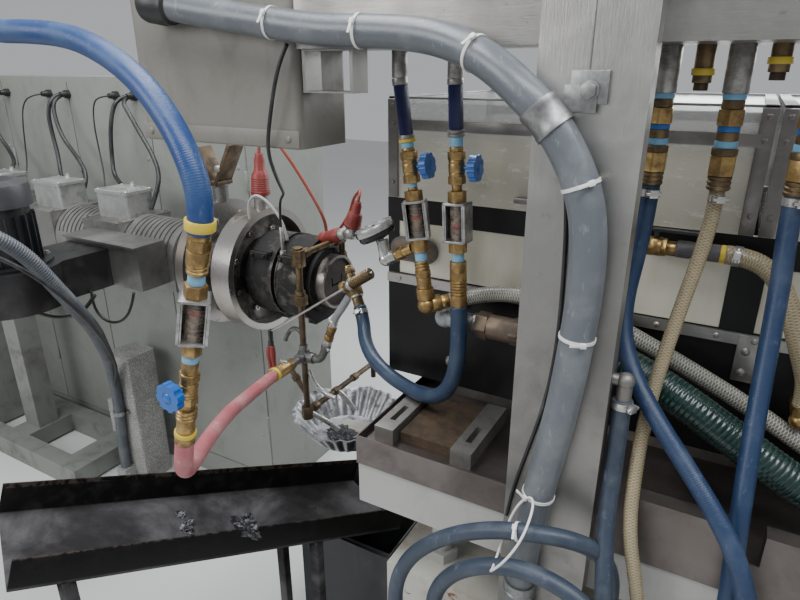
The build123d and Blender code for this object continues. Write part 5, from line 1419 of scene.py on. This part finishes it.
STRIP_SCREWS = (0.03, 0.21, 0.4, 0.55, 0.645)
strip_parts = []
for k in range(4):
    x0 = TANK_LEFT + BAY * k
    for along in STRIP_SCREWS:
        head = screw_head("screw", 0.0052, 0.003, (0.003, 0.0028), 0.001, 18)
        strip_parts.append(placed(head, on_front(x0 + along, 0.249, 1.18)))
    strip_parts.append(box_piece("tab", (0.032, 0.003, 0.084), (x0 + BAY + 0.022, 0.2492, 1.147), 0.0008))
    for z in (1.122, 1.16):
        head = screw_head("screw", 0.0068, 0.0036, (0.0036, 0.0032), 0.001)
        strip_parts.append(placed(head, on_front(x0 + BAY + 0.02, 0.2477, z)))
settle(joined("strip_screws", strip_parts), [strip_steel])
tank_bolt = placed(hex_bolt("tank_bolt", 0.018, 0.01, 0.012), on_front(-0.3, TANK_FRONT, 1.01))
settle(tank_bolt, [steel])

# Table: white enamelled panels under a stainless tray, on columns over a rusty white base box, with
# bare steel rails and bars and a rusty tool plate on the tray.
table_white = enamel(
    "table_white", (0.42, 0.42, 0.395), (0.25, 0.22, 0.18), 0.38, 0.35, (0.2, 0.085, 0.035), 0.73
)
base_white = enamel(
    "base_white", (0.46, 0.45, 0.4), (0.24, 0.18, 0.12), 0.45, 0.8, (0.14, 0.055, 0.022), 0.64
)
dress("table_frame", table_white)
dress("base_box", base_white)
bar_steel = stainless("clamp_bar_steel", (0.4, 0.385, 0.36), (0.24, 0.2, 0.16), (9, 1, 9), 16, 0.5)
dress("bed_rails", bar_steel)
dress("clamp_bars", bar_steel)
rusty, shader, place = new_finish("rusty_plate", metallic=0.5)
scale_patch = place.noise(22, 7, 0.7).between(0.35, 0.68)
base = scale_patch.choose((0.135, 0.095, 0.06), (0.055, 0.04, 0.03))
lay(
    shader, base_color=base, roughness=0.48 + 0.3 * scale_patch,
    relief=(scale_patch + place.noise(160, 4), 0.0004),
)
dress("tool_plate", rusty)

# Scrap chute: a folded black trough on square legs, worn bright along its floor, with a brown edge
# where its paint has gone.
CHUTE_TOP, CHUTE_FOOT = Vector((-0.9445, -0.385, 0.766)), Vector((-0.5695, 0.387, 0.478))
chute_way = (CHUTE_FOOT - CHUTE_TOP).normalized()
chute_side = Vector((chute_way.y, -chute_way.x, 0)).normalized()
chute_up = chute_side.cross(chute_way)
CHUTE_HALF, CHUTE_SHEET, CHUTE_LOW = 0.125, 0.004, -0.045
FAR_WALL, NEAR_WALL = 0.074, 0.066
chute_black, shader, place = new_finish("chute_black", specular_ior_level=0.15)
height = place.node("VectorMath", {0: place, 1: tuple(chute_up)}, {"operation": "DOT_PRODUCT"}, 1)
floor_level = CHUTE_TOP.dot(chute_up) + CHUTE_LOW + CHUTE_SHEET
on_floor = height.between(floor_level + 0.004, floor_level + 0.001)
worn = place.stretched((0.5, 0.3, 0.8)).noise(7, 7, 0.66, 0.4).between(0.36, 0.66)
dust = place.noise(30, 5, 0.6).between(0.45, 0.75)
rubbed = place.noise(60, 4, 0.7).between(0.44, 0.56)
at_rim = height.between(floor_level + NEAR_WALL - 0.0075, floor_level + NEAR_WALL - 0.0055) * rubbed
bare = worn.choose((0.018, 0.017, 0.018), (0.1, 0.095, 0.098))
base = on_floor.choose((0.004, 0.0037, 0.0037), bare)
base = (at_rim * 0.35).choose(base, (0.1, 0.07, 0.055))
lay(
    shader, base_color=(dust * 0.04).choose(base, (0.17, 0.16, 0.15)),
    roughness=0.46 + 0.25 * dust, relief=(dust + 0.4 * worn, 0.0004),
)
inside = CHUTE_HALF - CHUTE_SHEET
section = [
    (-CHUTE_HALF, CHUTE_LOW), (CHUTE_HALF, CHUTE_LOW), (CHUTE_HALF, CHUTE_LOW + NEAR_WALL),
    (inside, CHUTE_LOW + NEAR_WALL), (inside, CHUTE_LOW + CHUTE_SHEET), (-inside, CHUTE_LOW + CHUTE_SHEET),
    (-inside, CHUTE_LOW + FAR_WALL), (-CHUTE_HALF, CHUTE_LOW + FAR_WALL),
]
corners = [CHUTE_TOP + chute_side * a + chute_up * b for a, b in section]
trough = new_piece("chute_trough", corners, [], [tuple(range(len(corners)))])
open_mesh(trough)
bpy.ops.mesh.extrude_region_move(TRANSFORM_OT_translate={"value": CHUTE_FOOT - CHUTE_TOP})
close_mesh()
edge = trough.modifiers.new("edge", "BEVEL")
edge.width = 0.0012
edge.segments = 2
edge.limit_method = "ANGLE"
finish_mesh(trough)
chute_parts = [trough]
LEG = 0.025
for share in (0.09, 0.7):
    for side in (-1, 1):
        foot = CHUTE_TOP + (CHUTE_FOOT - CHUTE_TOP) * share + chute_side * (CHUTE_HALF - LEG / 2) * side
        leg = box_piece("leg", (LEG, LEG, foot.z - 0.09), (foot.x, foot.y, (foot.z - 0.09) / 2), 0.0015)
        for v in leg.data.vertices:
            if v.co.z > 0.1:
                off = v.co - CHUTE_TOP
                v.co.z = CHUTE_TOP.z + (CHUTE_LOW - off.x * chute_up.x - off.y * chute_up.y) / chute_up.z
        chute_parts.append(leg)
settle(joined("chute_trough", chute_parts), [chute_black], instead_of=["scrap_chute"])

# Scrap bin: scuffed dark steel.
bin_paint = enamel("bin_paint", (0.035, 0.037, 0.04), (0.11, 0.1, 0.09), 0.4, 0.6, (0.12, 0.07, 0.04), 0.68)
dress("scrap_bin", bin_paint)

# Heater plugs: moulded red rubber boots with gripping ribs round them, pushed on steel sockets
# that stand on the clamp ring and on the front heater band.
plug_red = plain_plastic("plug_red", (0.235, 0.036, 0.03), 0.45)


def heater_plug(name, matrix):
    """A plug's socket and boot standing on Z = 0, moved to its place."""
    socket = turned(name, [
        (0, -0.01), (0.0195, -0.01), (0.0195, 0.03), (0.0215, 0.0315), (0.0215, 0.0365), (0.0195, 0.038),
        (0, 0.038),
    ], 36)
    outline = [(0, 0.0375), (0.0262, 0.0375), (0.0272, 0.039), (0.0272, 0.048), (0.0255, 0.0495)]
    for k in range(6):
        z = 0.052 + 0.0062 * k
        valley, crest = 0.0252 - 0.0003 * k, 0.0262 - 0.0003 * k
        outline += [(valley, z), (crest, z + 0.0016), (valley, z + 0.0032)]
    outline += [
        (0.0235, 0.093), (0.017, 0.104), (0.015, 0.107), (0.0145, 0.135), (0.012, 0.141), (0.0115, 0.15),
        (0.0095, 0.153), (0, 0.153),
    ]
    boot = turned(name, outline, 36)
    boot.data.materials.append(plug_red)
    socket.data.materials.append(plug_red)
    socket.data.materials.append(steel)
    socket.data.polygons.foreach_set("material_index", [1] * len(socket.data.polygons))
    settle(placed(joined(name, [boot, socket]), matrix), instead_of=["heater_plugs"])


plug_1_at = shift(-1.006, AXIS_Y, 1.232) @ turn_by(3, "Y")
plug_2_at = shift(-0.7005, AXIS_Y, 1.19) @ turn_by(16, "Y") @ Matrix.Diagonal((0.84, 0.84, 0.62, 1))
PLUG_TOP = Vector((0, 0, 0.15))
heater_plug("heater_plug_1", plug_1_at)
heater_plug("heater_plug_2", plug_2_at)
BAND_SIDE, PLUG_KNEE = Vector((-0.8235, AXIS_Y, 1.158)), Vector((-0.6985, AXIS_Y, 1.196))
knee_way = PLUG_KNEE - BAND_SIDE
knee_at = facing(BAND_SIDE, knee_way)
knee = [
    finished(placed(prism("knee", 30, 0.012, 0, 0.034, 0.0008), knee_at), BROWN),
    finished(placed(prism("knee", 30, 0.0165, 0.092, 0.112, 0.002), knee_at), BRIGHT),
    painted_ball("knee", 0.019, tuple(PLUG_KNEE), BRIGHT),
]
settle(joined("plug_knee", knee), instead_of=["heater_plugs"])
boot = turned("knee_boot", [
    (0, 0.028), (0.0155, 0.028), (0.0175, 0.031), (0.0175, 0.044), (0.016, 0.046), (0.0172, 0.05),
    (0.0185, 0.07), (0.02, 0.074), (0.02, 0.088), (0.018, 0.094), (0, 0.094),
], 32)
settle(placed(boot, knee_at), [plug_red], instead_of=["heater_plugs"])

# Leads of the plugs and the probe: soft silicone and fibre jackets that curl back to the bands.
lead_orange = rubber("lead_orange", (0.27, 0.055, 0.03), (0.28, 0.13, 0.1), 0.42)
lead_white = rubber("lead_white", (0.42, 0.42, 0.41), (0.25, 0.24, 0.23), 0.45)
top = plug_1_at @ PLUG_TOP
cable("plug_lead_1", [
    tuple(top), (top.x + 0.001, AXIS_Y, top.z + 0.03), (top.x + 0.02, 0.478, top.z + 0.052),
    (top.x + 0.052, 0.486, top.z + 0.04), (top.x + 0.085, 0.5, top.z - 0.01), (-0.886, 0.516, 1.318),
    (-0.856, 0.53, 1.258), (-0.836, 0.544, 1.205), (-0.834, 0.552, 1.16), (-0.834, 0.548, 1.128),
], 0.0048, lead_orange)
top = plug_2_at @ PLUG_TOP
ahead = plug_2_at.to_3x3() @ Vector((0, 0, 1))
cable("plug_lead_2", [
    tuple(top), tuple(top + ahead * 0.022), (top.x - 0.004, 0.494, top.z + 0.03),
    (top.x - 0.022, 0.514, top.z + 0.018), (-0.726, 0.534, 1.278), (-0.748, 0.546, 1.232),
    (-0.776, 0.55, 1.192), (-0.804, 0.548, 1.162), (-0.824, 0.542, 1.14), (-0.83, 0.536, 1.124),
], 0.0042, lead_orange)
cable("ring_lead", [
    (-0.9835, 0.4, 1.214), (-0.984, 0.398, 1.236), (-0.976, 0.396, 1.268), (-0.95, 0.396, 1.288),
    (-0.918, 0.402, 1.272), (-0.892, 0.412, 1.236), (-0.878, 0.42, 1.2), (-0.874, 0.424, 1.163),
], 0.0036, lead_white)

# Probe: a thin black cable that drops from the big hose's tie to a steel probe in the adapter.
probe_top = Vector((-0.876, 0.402, 1.205))
probe_foot = Vector((-0.866, 0.392, 1.14))
cable("probe_cable", [
    (-0.4975, 0.0085, 1.64), (-0.508, 0.002, 1.618), (-0.524, 0.0, 1.575), (-0.542, 0.002, 1.515),
    (-0.555, 0.006, 1.465), (-0.602, 0.08, 1.405), (-0.69, 0.2, 1.352), (-0.78, 0.31, 1.318),
    (-0.846, 0.374, 1.29), (-0.874, 0.4, 1.25), tuple(probe_top),
], 0.0034, cable_black)
probe_way = probe_foot - probe_top
probe_parts = [
    placed(prism("probe", 20, 0.0052, 0, probe_way.length, 0.0006), facing(probe_top, probe_way)),
    placed(prism("probe", 6, 0.0095, -0.004, 0.012, 0.0008), facing(probe_foot, probe_way)),
]
settle(joined("probe_sheath", probe_parts), [steel])

# Bracket on the barrel's flange: a forked plate, black with heat, bolted to a steel stub.
FORK_X = -1.1595
stub = turned("stub", [
    (0, -0.006), (0.0225, -0.006), (0.0225, 0.038), (0.025, 0.04), (0.025, 0.048), (0, 0.048),
])
fork = [finished(placed(stub, shift(FORK_X, AXIS_Y, 1.24)), GREY)]
for lean, reach in ((-24, 0.115), (30, 0.14)):
    plate = finished(box_piece("fork", (0.012, 0.06, reach), (0, 0, reach / 2), 0.0015), BROWN)
    at = shift(FORK_X + 0.008 * (1 if lean > 0 else -1), AXIS_Y, 1.284)
    fork.append(placed(plate, at @ turn_by(lean, "Y")))
fork.append(finished(box_piece("fork", (0.052, 0.056, 0.012), (FORK_X, AXIS_Y, 1.292), 0.002), BROWN))
pin = finished(prism("fork", 24, 0.01, -0.036, 0.036, 0.001), STEEL)
fork.append(placed(pin, shift(-1.13, AXIS_Y, 1.335) @ turn_by(90, "X")))
settle(joined("flange_fork", fork))

# Water pipes in front of the die: threaded pipe, unions and cross fittings browned by heat, with
# one flexible tube up to the valve, a bright rod across them and thin bent tubes to the pan.
UPRIGHT = Vector((-0.7605, 0.325, 0))
pipe_parts = []


def bar(a, b, radius, look, sides=30, bevel=0.0008):
    """A round or six-sided bar between two places, added to the pipes."""
    a, b = Vector(a), Vector(b)
    part = finished(prism("bar", sides, radius, 0, (b - a).length, bevel), look)
    pipe_parts.append(placed(part, facing(a, b - a)))


def ball(at, radius, look):
    pipe_parts.append(painted_ball("ball", radius, tuple(at), look))


def bent(route, radius, look):
    """A bent metal tube along a smooth route."""
    pipe_parts.append(finished(tube("bent", centreline(route, 0.004), radius, 18), look))


def pipe_at(z, x=0.0, y=0.0):
    return UPRIGHT + Vector((x, y, z))


for z0, z1, r, look, sides in (
    (0.692, 0.728, 0.0165, BROWN, 6), (0.728, 0.866, 0.0082, BROWN, 30), (0.866, 0.898, 0.0165, GREY, 6),
    (0.898, 0.915, 0.0115, GREY, 30), (0.915, 1.03, 0.0086, BROWN, 30), (1.03, 1.056, 0.019, BRONZE, 6),
    (1.056, 1.068, 0.0135, BRONZE, 30), (1.068, 1.14, 0.009, BRONZE, 30), (1.134, 1.178, 0.0185, BRONZE, 6),
    (1.178, 1.184, 0.013, BRONZE, 30),
):
    bar(pipe_at(z0), pipe_at(z1), r, look, sides)
# branch over the nose, cross with its arms, and the leaning pipe below it: (z, x, y) of both ends
for start, end, r, look, sides in (
    ((1.162, 0, 0), (1.162, 0, 0.195), 0.0082, BRONZE, 30),
    ((1.162, 0, 0.016), (1.162, 0, 0.04), 0.0135, BRONZE, 6),
    ((1.162, 0, 0.16), (1.162, 0, 0.186), 0.015, BRONZE, 6),
    ((1.108, 0, 0.195), (1.162, 0, 0.195), 0.0082, BROWN, 30),
    ((1.112, 0, 0.195), (1.124, 0, 0.195), 0.0125, BROWN, 6),
    ((0.882, 0, -0.07), (0.882, 0, 0), 0.0112, GREY, 30),
    ((0.882, 0, -0.026), (0.882, 0, -0.012), 0.015, GREY, 30),
    ((0.882, 0, -0.076), (0.882, 0, -0.056), 0.0175, BRONZE, 6),
    ((0.882, 0, -0.056), (0.882, 0, -0.048), 0.014, BRONZE, 30),
    ((0.882, 0.012, 0), (0.882, 0.034, 0), 0.015, GREY, 30),
    ((0.836, -0.058, 0.004), (0.762, 0, 0.004), 0.0082, BROWN, 30),
    ((0.812, -0.04, 0.004), (0.8, -0.03, 0.004), 0.012, BROWN, 6),
):
    bar(pipe_at(*start), pipe_at(*end), r, look, sides)
ball(pipe_at(1.162, 0, 0.195), 0.0145, BRONZE)
ball(pipe_at(0.882), 0.0175, GREY)
bent([
    pipe_at(0.885, -0.008, 0.01), pipe_at(0.902, -0.016, 0.024), pipe_at(0.928, -0.036, 0.04),
    pipe_at(0.932, -0.066, 0.05), pipe_at(0.916, -0.092, 0.052), pipe_at(0.886, -0.104, 0.05),
], 0.0062, GREY)
bent([
    pipe_at(0.838, 0.008, 0.006), pipe_at(0.812, 0.016, 0.008), pipe_at(0.786, 0.034, 0.012),
    pipe_at(0.77, 0.058, 0.018), pipe_at(0.764, 0.078, 0.024),
], 0.0062, BRIGHT)
# sleeve and ring that hold the red hose on its barb
sleeve_start, sleeve_way = pipe_at(0.882, 0, -0.074), Vector((0.07, -1.0, 0.03))
parts = chain("sleeve", ((1, 46, 17.5, BRASS), (0, 9, 18.5, YELLOW), (0, 6, 17, BRASS)))
pipe_parts += [placed(part, facing(sleeve_start, -sleeve_way)) for part in parts]
# flexible tube with its brass unions, and the valve body on the tube's upper end
bent([
    pipe_at(0.882, 0.03), pipe_at(0.882, 0.048), pipe_at(0.896, 0.062), pipe_at(0.922, 0.073),
], 0.0105, GREY)
low, high = pipe_at(0.92, 0.072), pipe_at(1.003, 0.102, 0.003)
step = (high - low) / 6
for k, (r, look, sides) in enumerate((
    (0.013, GREY, 30), (0.0125, BRIGHT, 30), (0.0135, BRASS, 6), (0.0115, BRONZE, 30), (0.0135, BRASS, 6),
    (0.012, BRIGHT, 30),
)):
    bar(low + step * k, low + step * (k + 1), r, look, sides)
pin = finished(prism("bar", 6, 0.0045, 0, 0.022, 0.0006), STEEL)
pipe_parts.append(placed(pin, facing(low + step * 0.8, (0.6, -0.5, -0.4))))
bent([high, high + step, pipe_at(1.045, 0.128, 0.006), pipe_at(1.078, 0.146, 0.01)], 0.01, PVC)
valve_at, dip = Vector((-0.6025, 0.34, 1.096)), Vector((0.5, -0.3, -0.81)).normalized()
for a, b, r, look, sides in (
    (0.016, 0.046, 0.0135, BRONZE, 30), (-0.018, 0.018, 0.019, BRASS, 6),
    (0.018, 0.023, 0.0165, BRIGHT, 30), (-0.024, -0.018, 0.016, BRIGHT, 30),
    (-0.04, -0.024, 0.0125, BRONZE, 30), (-0.053, -0.04, 0.015, BRONZE, 6),
    (-0.06, -0.053, 0.01, BRASS, 30),
):
    bar(valve_at + dip * a, valve_at + dip * b, r, look, sides)
bar(valve_at - Vector((0.042, 0, 0)), valve_at, 0.011, BRONZE)
bar(valve_at - Vector((0.036, 0, 0)), valve_at - Vector((0.02, 0, 0)), 0.015, BRASS, 6)
# bright rod with a ribbed grip at its upper end
rod_low, rod_high = Vector((-0.8635, 0.3145, 0.935)), Vector((-0.5335, 0.3145, 1.158))
bar(rod_low, rod_high, 0.003, BRIGHT, 16, 0.0004)
way = (rod_high - rod_low).normalized()
parts = chain("grip", ((1, 64, 14, BRONZE), (0, 10, 16, BRIGHT), (6, 14, 13, BRONZE)))
pipe_parts += [placed(part, facing(rod_high - way * 0.006, way)) for part in parts]
# lower branch, and the tee's thin tubes that drip into the pan
bar(pipe_at(0.71), pipe_at(0.71, 0, 0.347), 0.0082, BROWN)
for y, r in ((0.024, 0.0135), (0.125, 0.0125), (0.225, 0.0125)):
    bar(pipe_at(0.71, 0, y), pipe_at(0.71, 0, y + 0.022), r, BROWN, 6)
ball(pipe_at(0.71, 0, 0.347), 0.014, BROWN)
bar(pipe_at(0.66, 0, 0.347), pipe_at(0.71, 0, 0.347), 0.0082, BROWN)
for route in (
    ((0.706, 0.006, 0.006), (0.69, 0.02, 0.02), (0.664, 0.038, 0.044), (0.634, 0.054, 0.066)),
    ((0.71, 0.003, 0.14), (0.7, 0.012, 0.146), (0.676, 0.028, 0.156), (0.644, 0.044, 0.166)),
):
    bent([pipe_at(*point) for point in route], 0.0078, BRIGHT)
settle(joined("die_pipes", pipe_parts), instead_of=["pipe_cross"])

# Spring clip on the rod's lower end: black jaws and red sleeves over its handles.
clip_black = plain_plastic("clip_black", (0.018, 0.018, 0.018), 0.4)
jaws = [
    box_piece("jaws", (0.01, 0.012, 0.046), (-0.8635, 0.3145, 0.918), 0.003),
    box_piece("jaws", (0.016, 0.01, 0.02), (-0.865, 0.3145, 0.898), 0.003),
]
settle(joined("clip_jaws", jaws), [clip_black])


def clip_radius(gone):
    """A clip sleeve's radius, which swells in the middle."""
    return 0.0062 + 0.0022 * sin(min(1, gone / 0.05) * pi)


for k, out in enumerate((-0.004, 0.005)):
    line = centreline([
        (x + share * out, 0.3145, z) for x, share, z in (
            (-0.8655, 1, 0.894), (-0.868, 1.4, 0.872), (-0.868, 1.6, 0.845), (-0.864, 1.5, 0.812),
        )
    ], 0.003)
    sleeve = tube(f"clip_sleeve_{k + 1}", line, clip_radius, 16)
    settle(sleeve, [plug_red])

# Drip pan: a fluted foil dish, crumpled and half burnt, on the arm below the pipes, with a crust of
# waste plastic in it.
foil, shader, place = new_finish("crumpled_foil", metallic=1.0)
creases = place.cells(70).between(0.0, 0.5)
folds = place.noise(42, 6, 0.7)
soot = place.noise(11, 6, 0.65).between(0.5, 0.66)
shine = creases.choose((0.3, 0.3, 0.31), (0.44, 0.44, 0.455))
lay(
    shader, base_color=(soot * 0.8).choose(shine, (0.07, 0.07, 0.08)),
    roughness=0.36 + 0.2 * folds + 0.2 * soot, relief=(creases + 0.8 * folds, 0.0009),
)
PAN_AT = Vector((-0.76, 0.515, 0.5335))
FLUTES, PAN_STEPS = 26, 26 * 8
profile = [
    (0, 0, 0), (0.034, 0.0004, 0), (0.067, 0, 0), (0.092, 0.0006, 0.0), (0.103, 0.002, 0.2),
    (0.111, 0.013, 0.6), (0.12, 0.028, 0.9), (0.13, 0.043, 1.0), (0.141, 0.059, 1.0), (0.151, 0.072, 0.9),
    (0.159, 0.08, 0.8), (0.166, 0.081, 0.7),
]
points, faces = [], []
for i, (r, z, share) in enumerate(profile):
    for k in range(PAN_STEPS):
        turn = 2 * pi * k / PAN_STEPS
        flute = 0.0052 * share * cos(FLUTES * turn)
        sag = 0.006 * share * sin(2 * turn + 0.7) + 0.0035 * share * sin(5 * turn)
        sag += 0.002 * share * sin(11 * turn + 2)
        reach = r + flute + 0.5 * sag
        points.append(PAN_AT + Vector((reach * cos(turn), reach * sin(turn), z + sag * (z / 0.07))))
for i in range(len(profile) - 1):
    for k in range(PAN_STEPS):
        a, b = i * PAN_STEPS + k, i * PAN_STEPS + (k + 1) % PAN_STEPS
        faces.append((a, b, b + PAN_STEPS, a + PAN_STEPS))
pan = new_piece("foil_pan", points, [], faces)
open_mesh(pan)
close_mesh()
wall = pan.modifiers.new("wall", "SOLIDIFY")
wall.thickness = 0.0009
finish_mesh(pan)
settle(pan, [foil], instead_of=["drip_pan"])

burnt, shader, place = new_finish("burnt_plastic", coat_weight=0.4, coat_roughness=0.2)
ash = place.noise(70, 6, 0.7).between(0.52, 0.66)
lay(
    shader, base_color=ash.choose((0.012, 0.012, 0.016), (0.17, 0.17, 0.19)), roughness=0.28 + 0.4 * ash,
    relief=(place.noise(120, 5), 0.0012),
)


def lump(name, at, size, seed, rough=0.45):
    """A lump of set plastic: a ball of a size along each axis, pushed in and out at random."""
    piece = added(name, "ico_sphere", subdivisions=5, radius=1)
    for v in piece.data.vertices:
        out = noise.fractal(v.co * 1.9 + Vector((seed, 0, 0)), 0.9, 2.1, 5)
        v.co = v.co * (1 + rough * out)
    piece.data.transform(shift(*at) @ Matrix.Diagonal((*size, 1)))
    piece.data.shade_smooth()
    return piece


crust = [
    lump("crust", (-0.735, 0.47, 0.546), (0.05, 0.034, 0.016), 3.0),
    lump("crust", (-0.705, 0.455, 0.556), (0.03, 0.022, 0.018), 8.0),
    lump("crust", (-0.775, 0.5, 0.541), (0.04, 0.036, 0.008), 5.0),
]
settle(joined("pan_crust", crust), [burnt])
spills = [
    lump("spill", (-0.8423, -0.0697, 0.6126), (0.014, 0.01, 0.006), 1.0),
    lump("spill", (-0.79, -0.098, 0.615), (0.02, 0.012, 0.009), 2.0),
    lump("spill", (-0.8, -0.085, 0.6145), (0.01, 0.018, 0.006), 2.5),
    lump("spill", (-0.714, 0.01, 0.572), (0.044, 0.02, 0.012), 4.0),
    lump("spill", (-0.643, -0.051, 0.641), (0.03, 0.012, 0.02), 6.0, 0.6),
    lump("spill", (-0.668, -0.024, 0.616), (0.02, 0.016, 0.03), 9.0, 0.6),
]
settle(joined("chute_spills", spills), [burnt])

# Small parts over the tank: the yellow ring of the supply hose, the caps of the hand wheels, two
# short valves under the beam, the coupling at the upper end of the grey hose, the long tie that
# holds both coils of the blue hose to the grey one, and a cable down the post.
ring = turned("supply_ring", [
    (0.0172, -0.007), (0.02, -0.007), (0.0205, -0.006), (0.0205, 0.006), (0.02, 0.007), (0.0172, 0.007),
    (0.0172, -0.007),
], 40)
ring_at = around(LINES["supply"], (-0.4235, -0.285, 1.411), (0, -1, 0))
settle(placed(ring, ring_at), [ring_yellow])
for k, (at, axis) in enumerate((
    ((-0.3093, 0.145, 1.4406), (0.9895, 0, 0.1444)), ((-0.2174, 0.145, 1.443), (0.9986, 0, 0.0523)),
    ((-0.487, -0.3195, 1.1548), (0, -1, 0)),
)):
    cap = turned(f"wheel_cap_{k + 1}", [
        (0, 0.0034), (0.0086, 0.0034), (0.0086, 0.0062), (0.0076, 0.0072), (0.004, 0.0082), (0, 0.0085),
    ], 30)
    settle(placed(cap, facing(at, axis)), [wheel_blue], body=f"valve_wheel_{k + 1}")
beam_parts = []
for x, low in ((0.1115, 1.583), (0.2005, 1.597)):
    for r, z0, z1, look in (
        (0.0125, low, 1.634, BRONZE), (0.015, low + 0.01, low + 0.019, YELLOW),
        (0.0095, low - 0.01, low, BROWN),
    ):
        part = finished(prism("beam_valve", 30, r, z0, z1, 0.0008), look)
        beam_parts.append(placed(part, shift(x, DROP_Y, 0)))
settle(joined("beam_valves", beam_parts))
collar = turned("grey_collar", [
    (0.0245, -0.034), (0.0325, -0.034), (0.0335, -0.03), (0.0335, 0.004), (0.03, 0.01), (0.03, 0.022),
    (0.0245, 0.026), (0.0245, -0.034),
], 40)
collar = placed(collar, around(grey_line, (-0.76, -0.0043, 1.706), (0, -1, 0)))
settle(collar, [gland_black])
tie_line = centreline([
    (-0.046, -0.142, 0.89), (-0.03, -0.15, 0.912), (-0.006, -0.13, 0.955), (-0.004, -0.086, 0.985),
    (-0.014, -0.068, 0.99), (-0.032, -0.068, 0.97), (-0.046, -0.072, 0.93), (-0.05, -0.098, 0.89),
    (-0.048, -0.13, 0.88), (-0.046, -0.142, 0.89),
], 0.004)
settle(tube("coil_tie", tie_line, 0.002, 10), [nylon])
cable("post_cable", [
    (-0.0445, -0.0235, 1.528), (-0.0385, -0.0235, 1.515), (-0.0275, -0.0235, 1.49),
    (-0.0175, -0.0235, 1.45), (-0.0125, -0.0235, 1.4), (-0.0095, -0.0235, 1.328), (-0.0085, -0.0235, 1.25),
    (-0.0125, -0.0235, 1.175), (-0.0245, -0.0235, 1.098), (-0.0415, -0.0235, 1.025),
    (-0.0585, -0.0235, 0.95), (-0.0645, -0.0235, 0.9),
], 0.003, cable_black)

# Oval cover on the tank's front: a dark pressed plate with a raised grey edge.
for name, r, thick, look in (
    ("oval_edge", 0.026, 0.007, sleeve_grey), ("oval_cover", 0.0215, 0.0078, pipe_dusty),
):
    oval = prism(name, 48, r, 0, thick, 0.0012)
    for v in oval.data.vertices:
        v.co.x += 0.029 if v.co.x > 0 else -0.029
    oval.data.transform(shift(-0.3905, TANK_FRONT, 1.247) @ turn_by(90, "X"))
    settle(oval, [look])
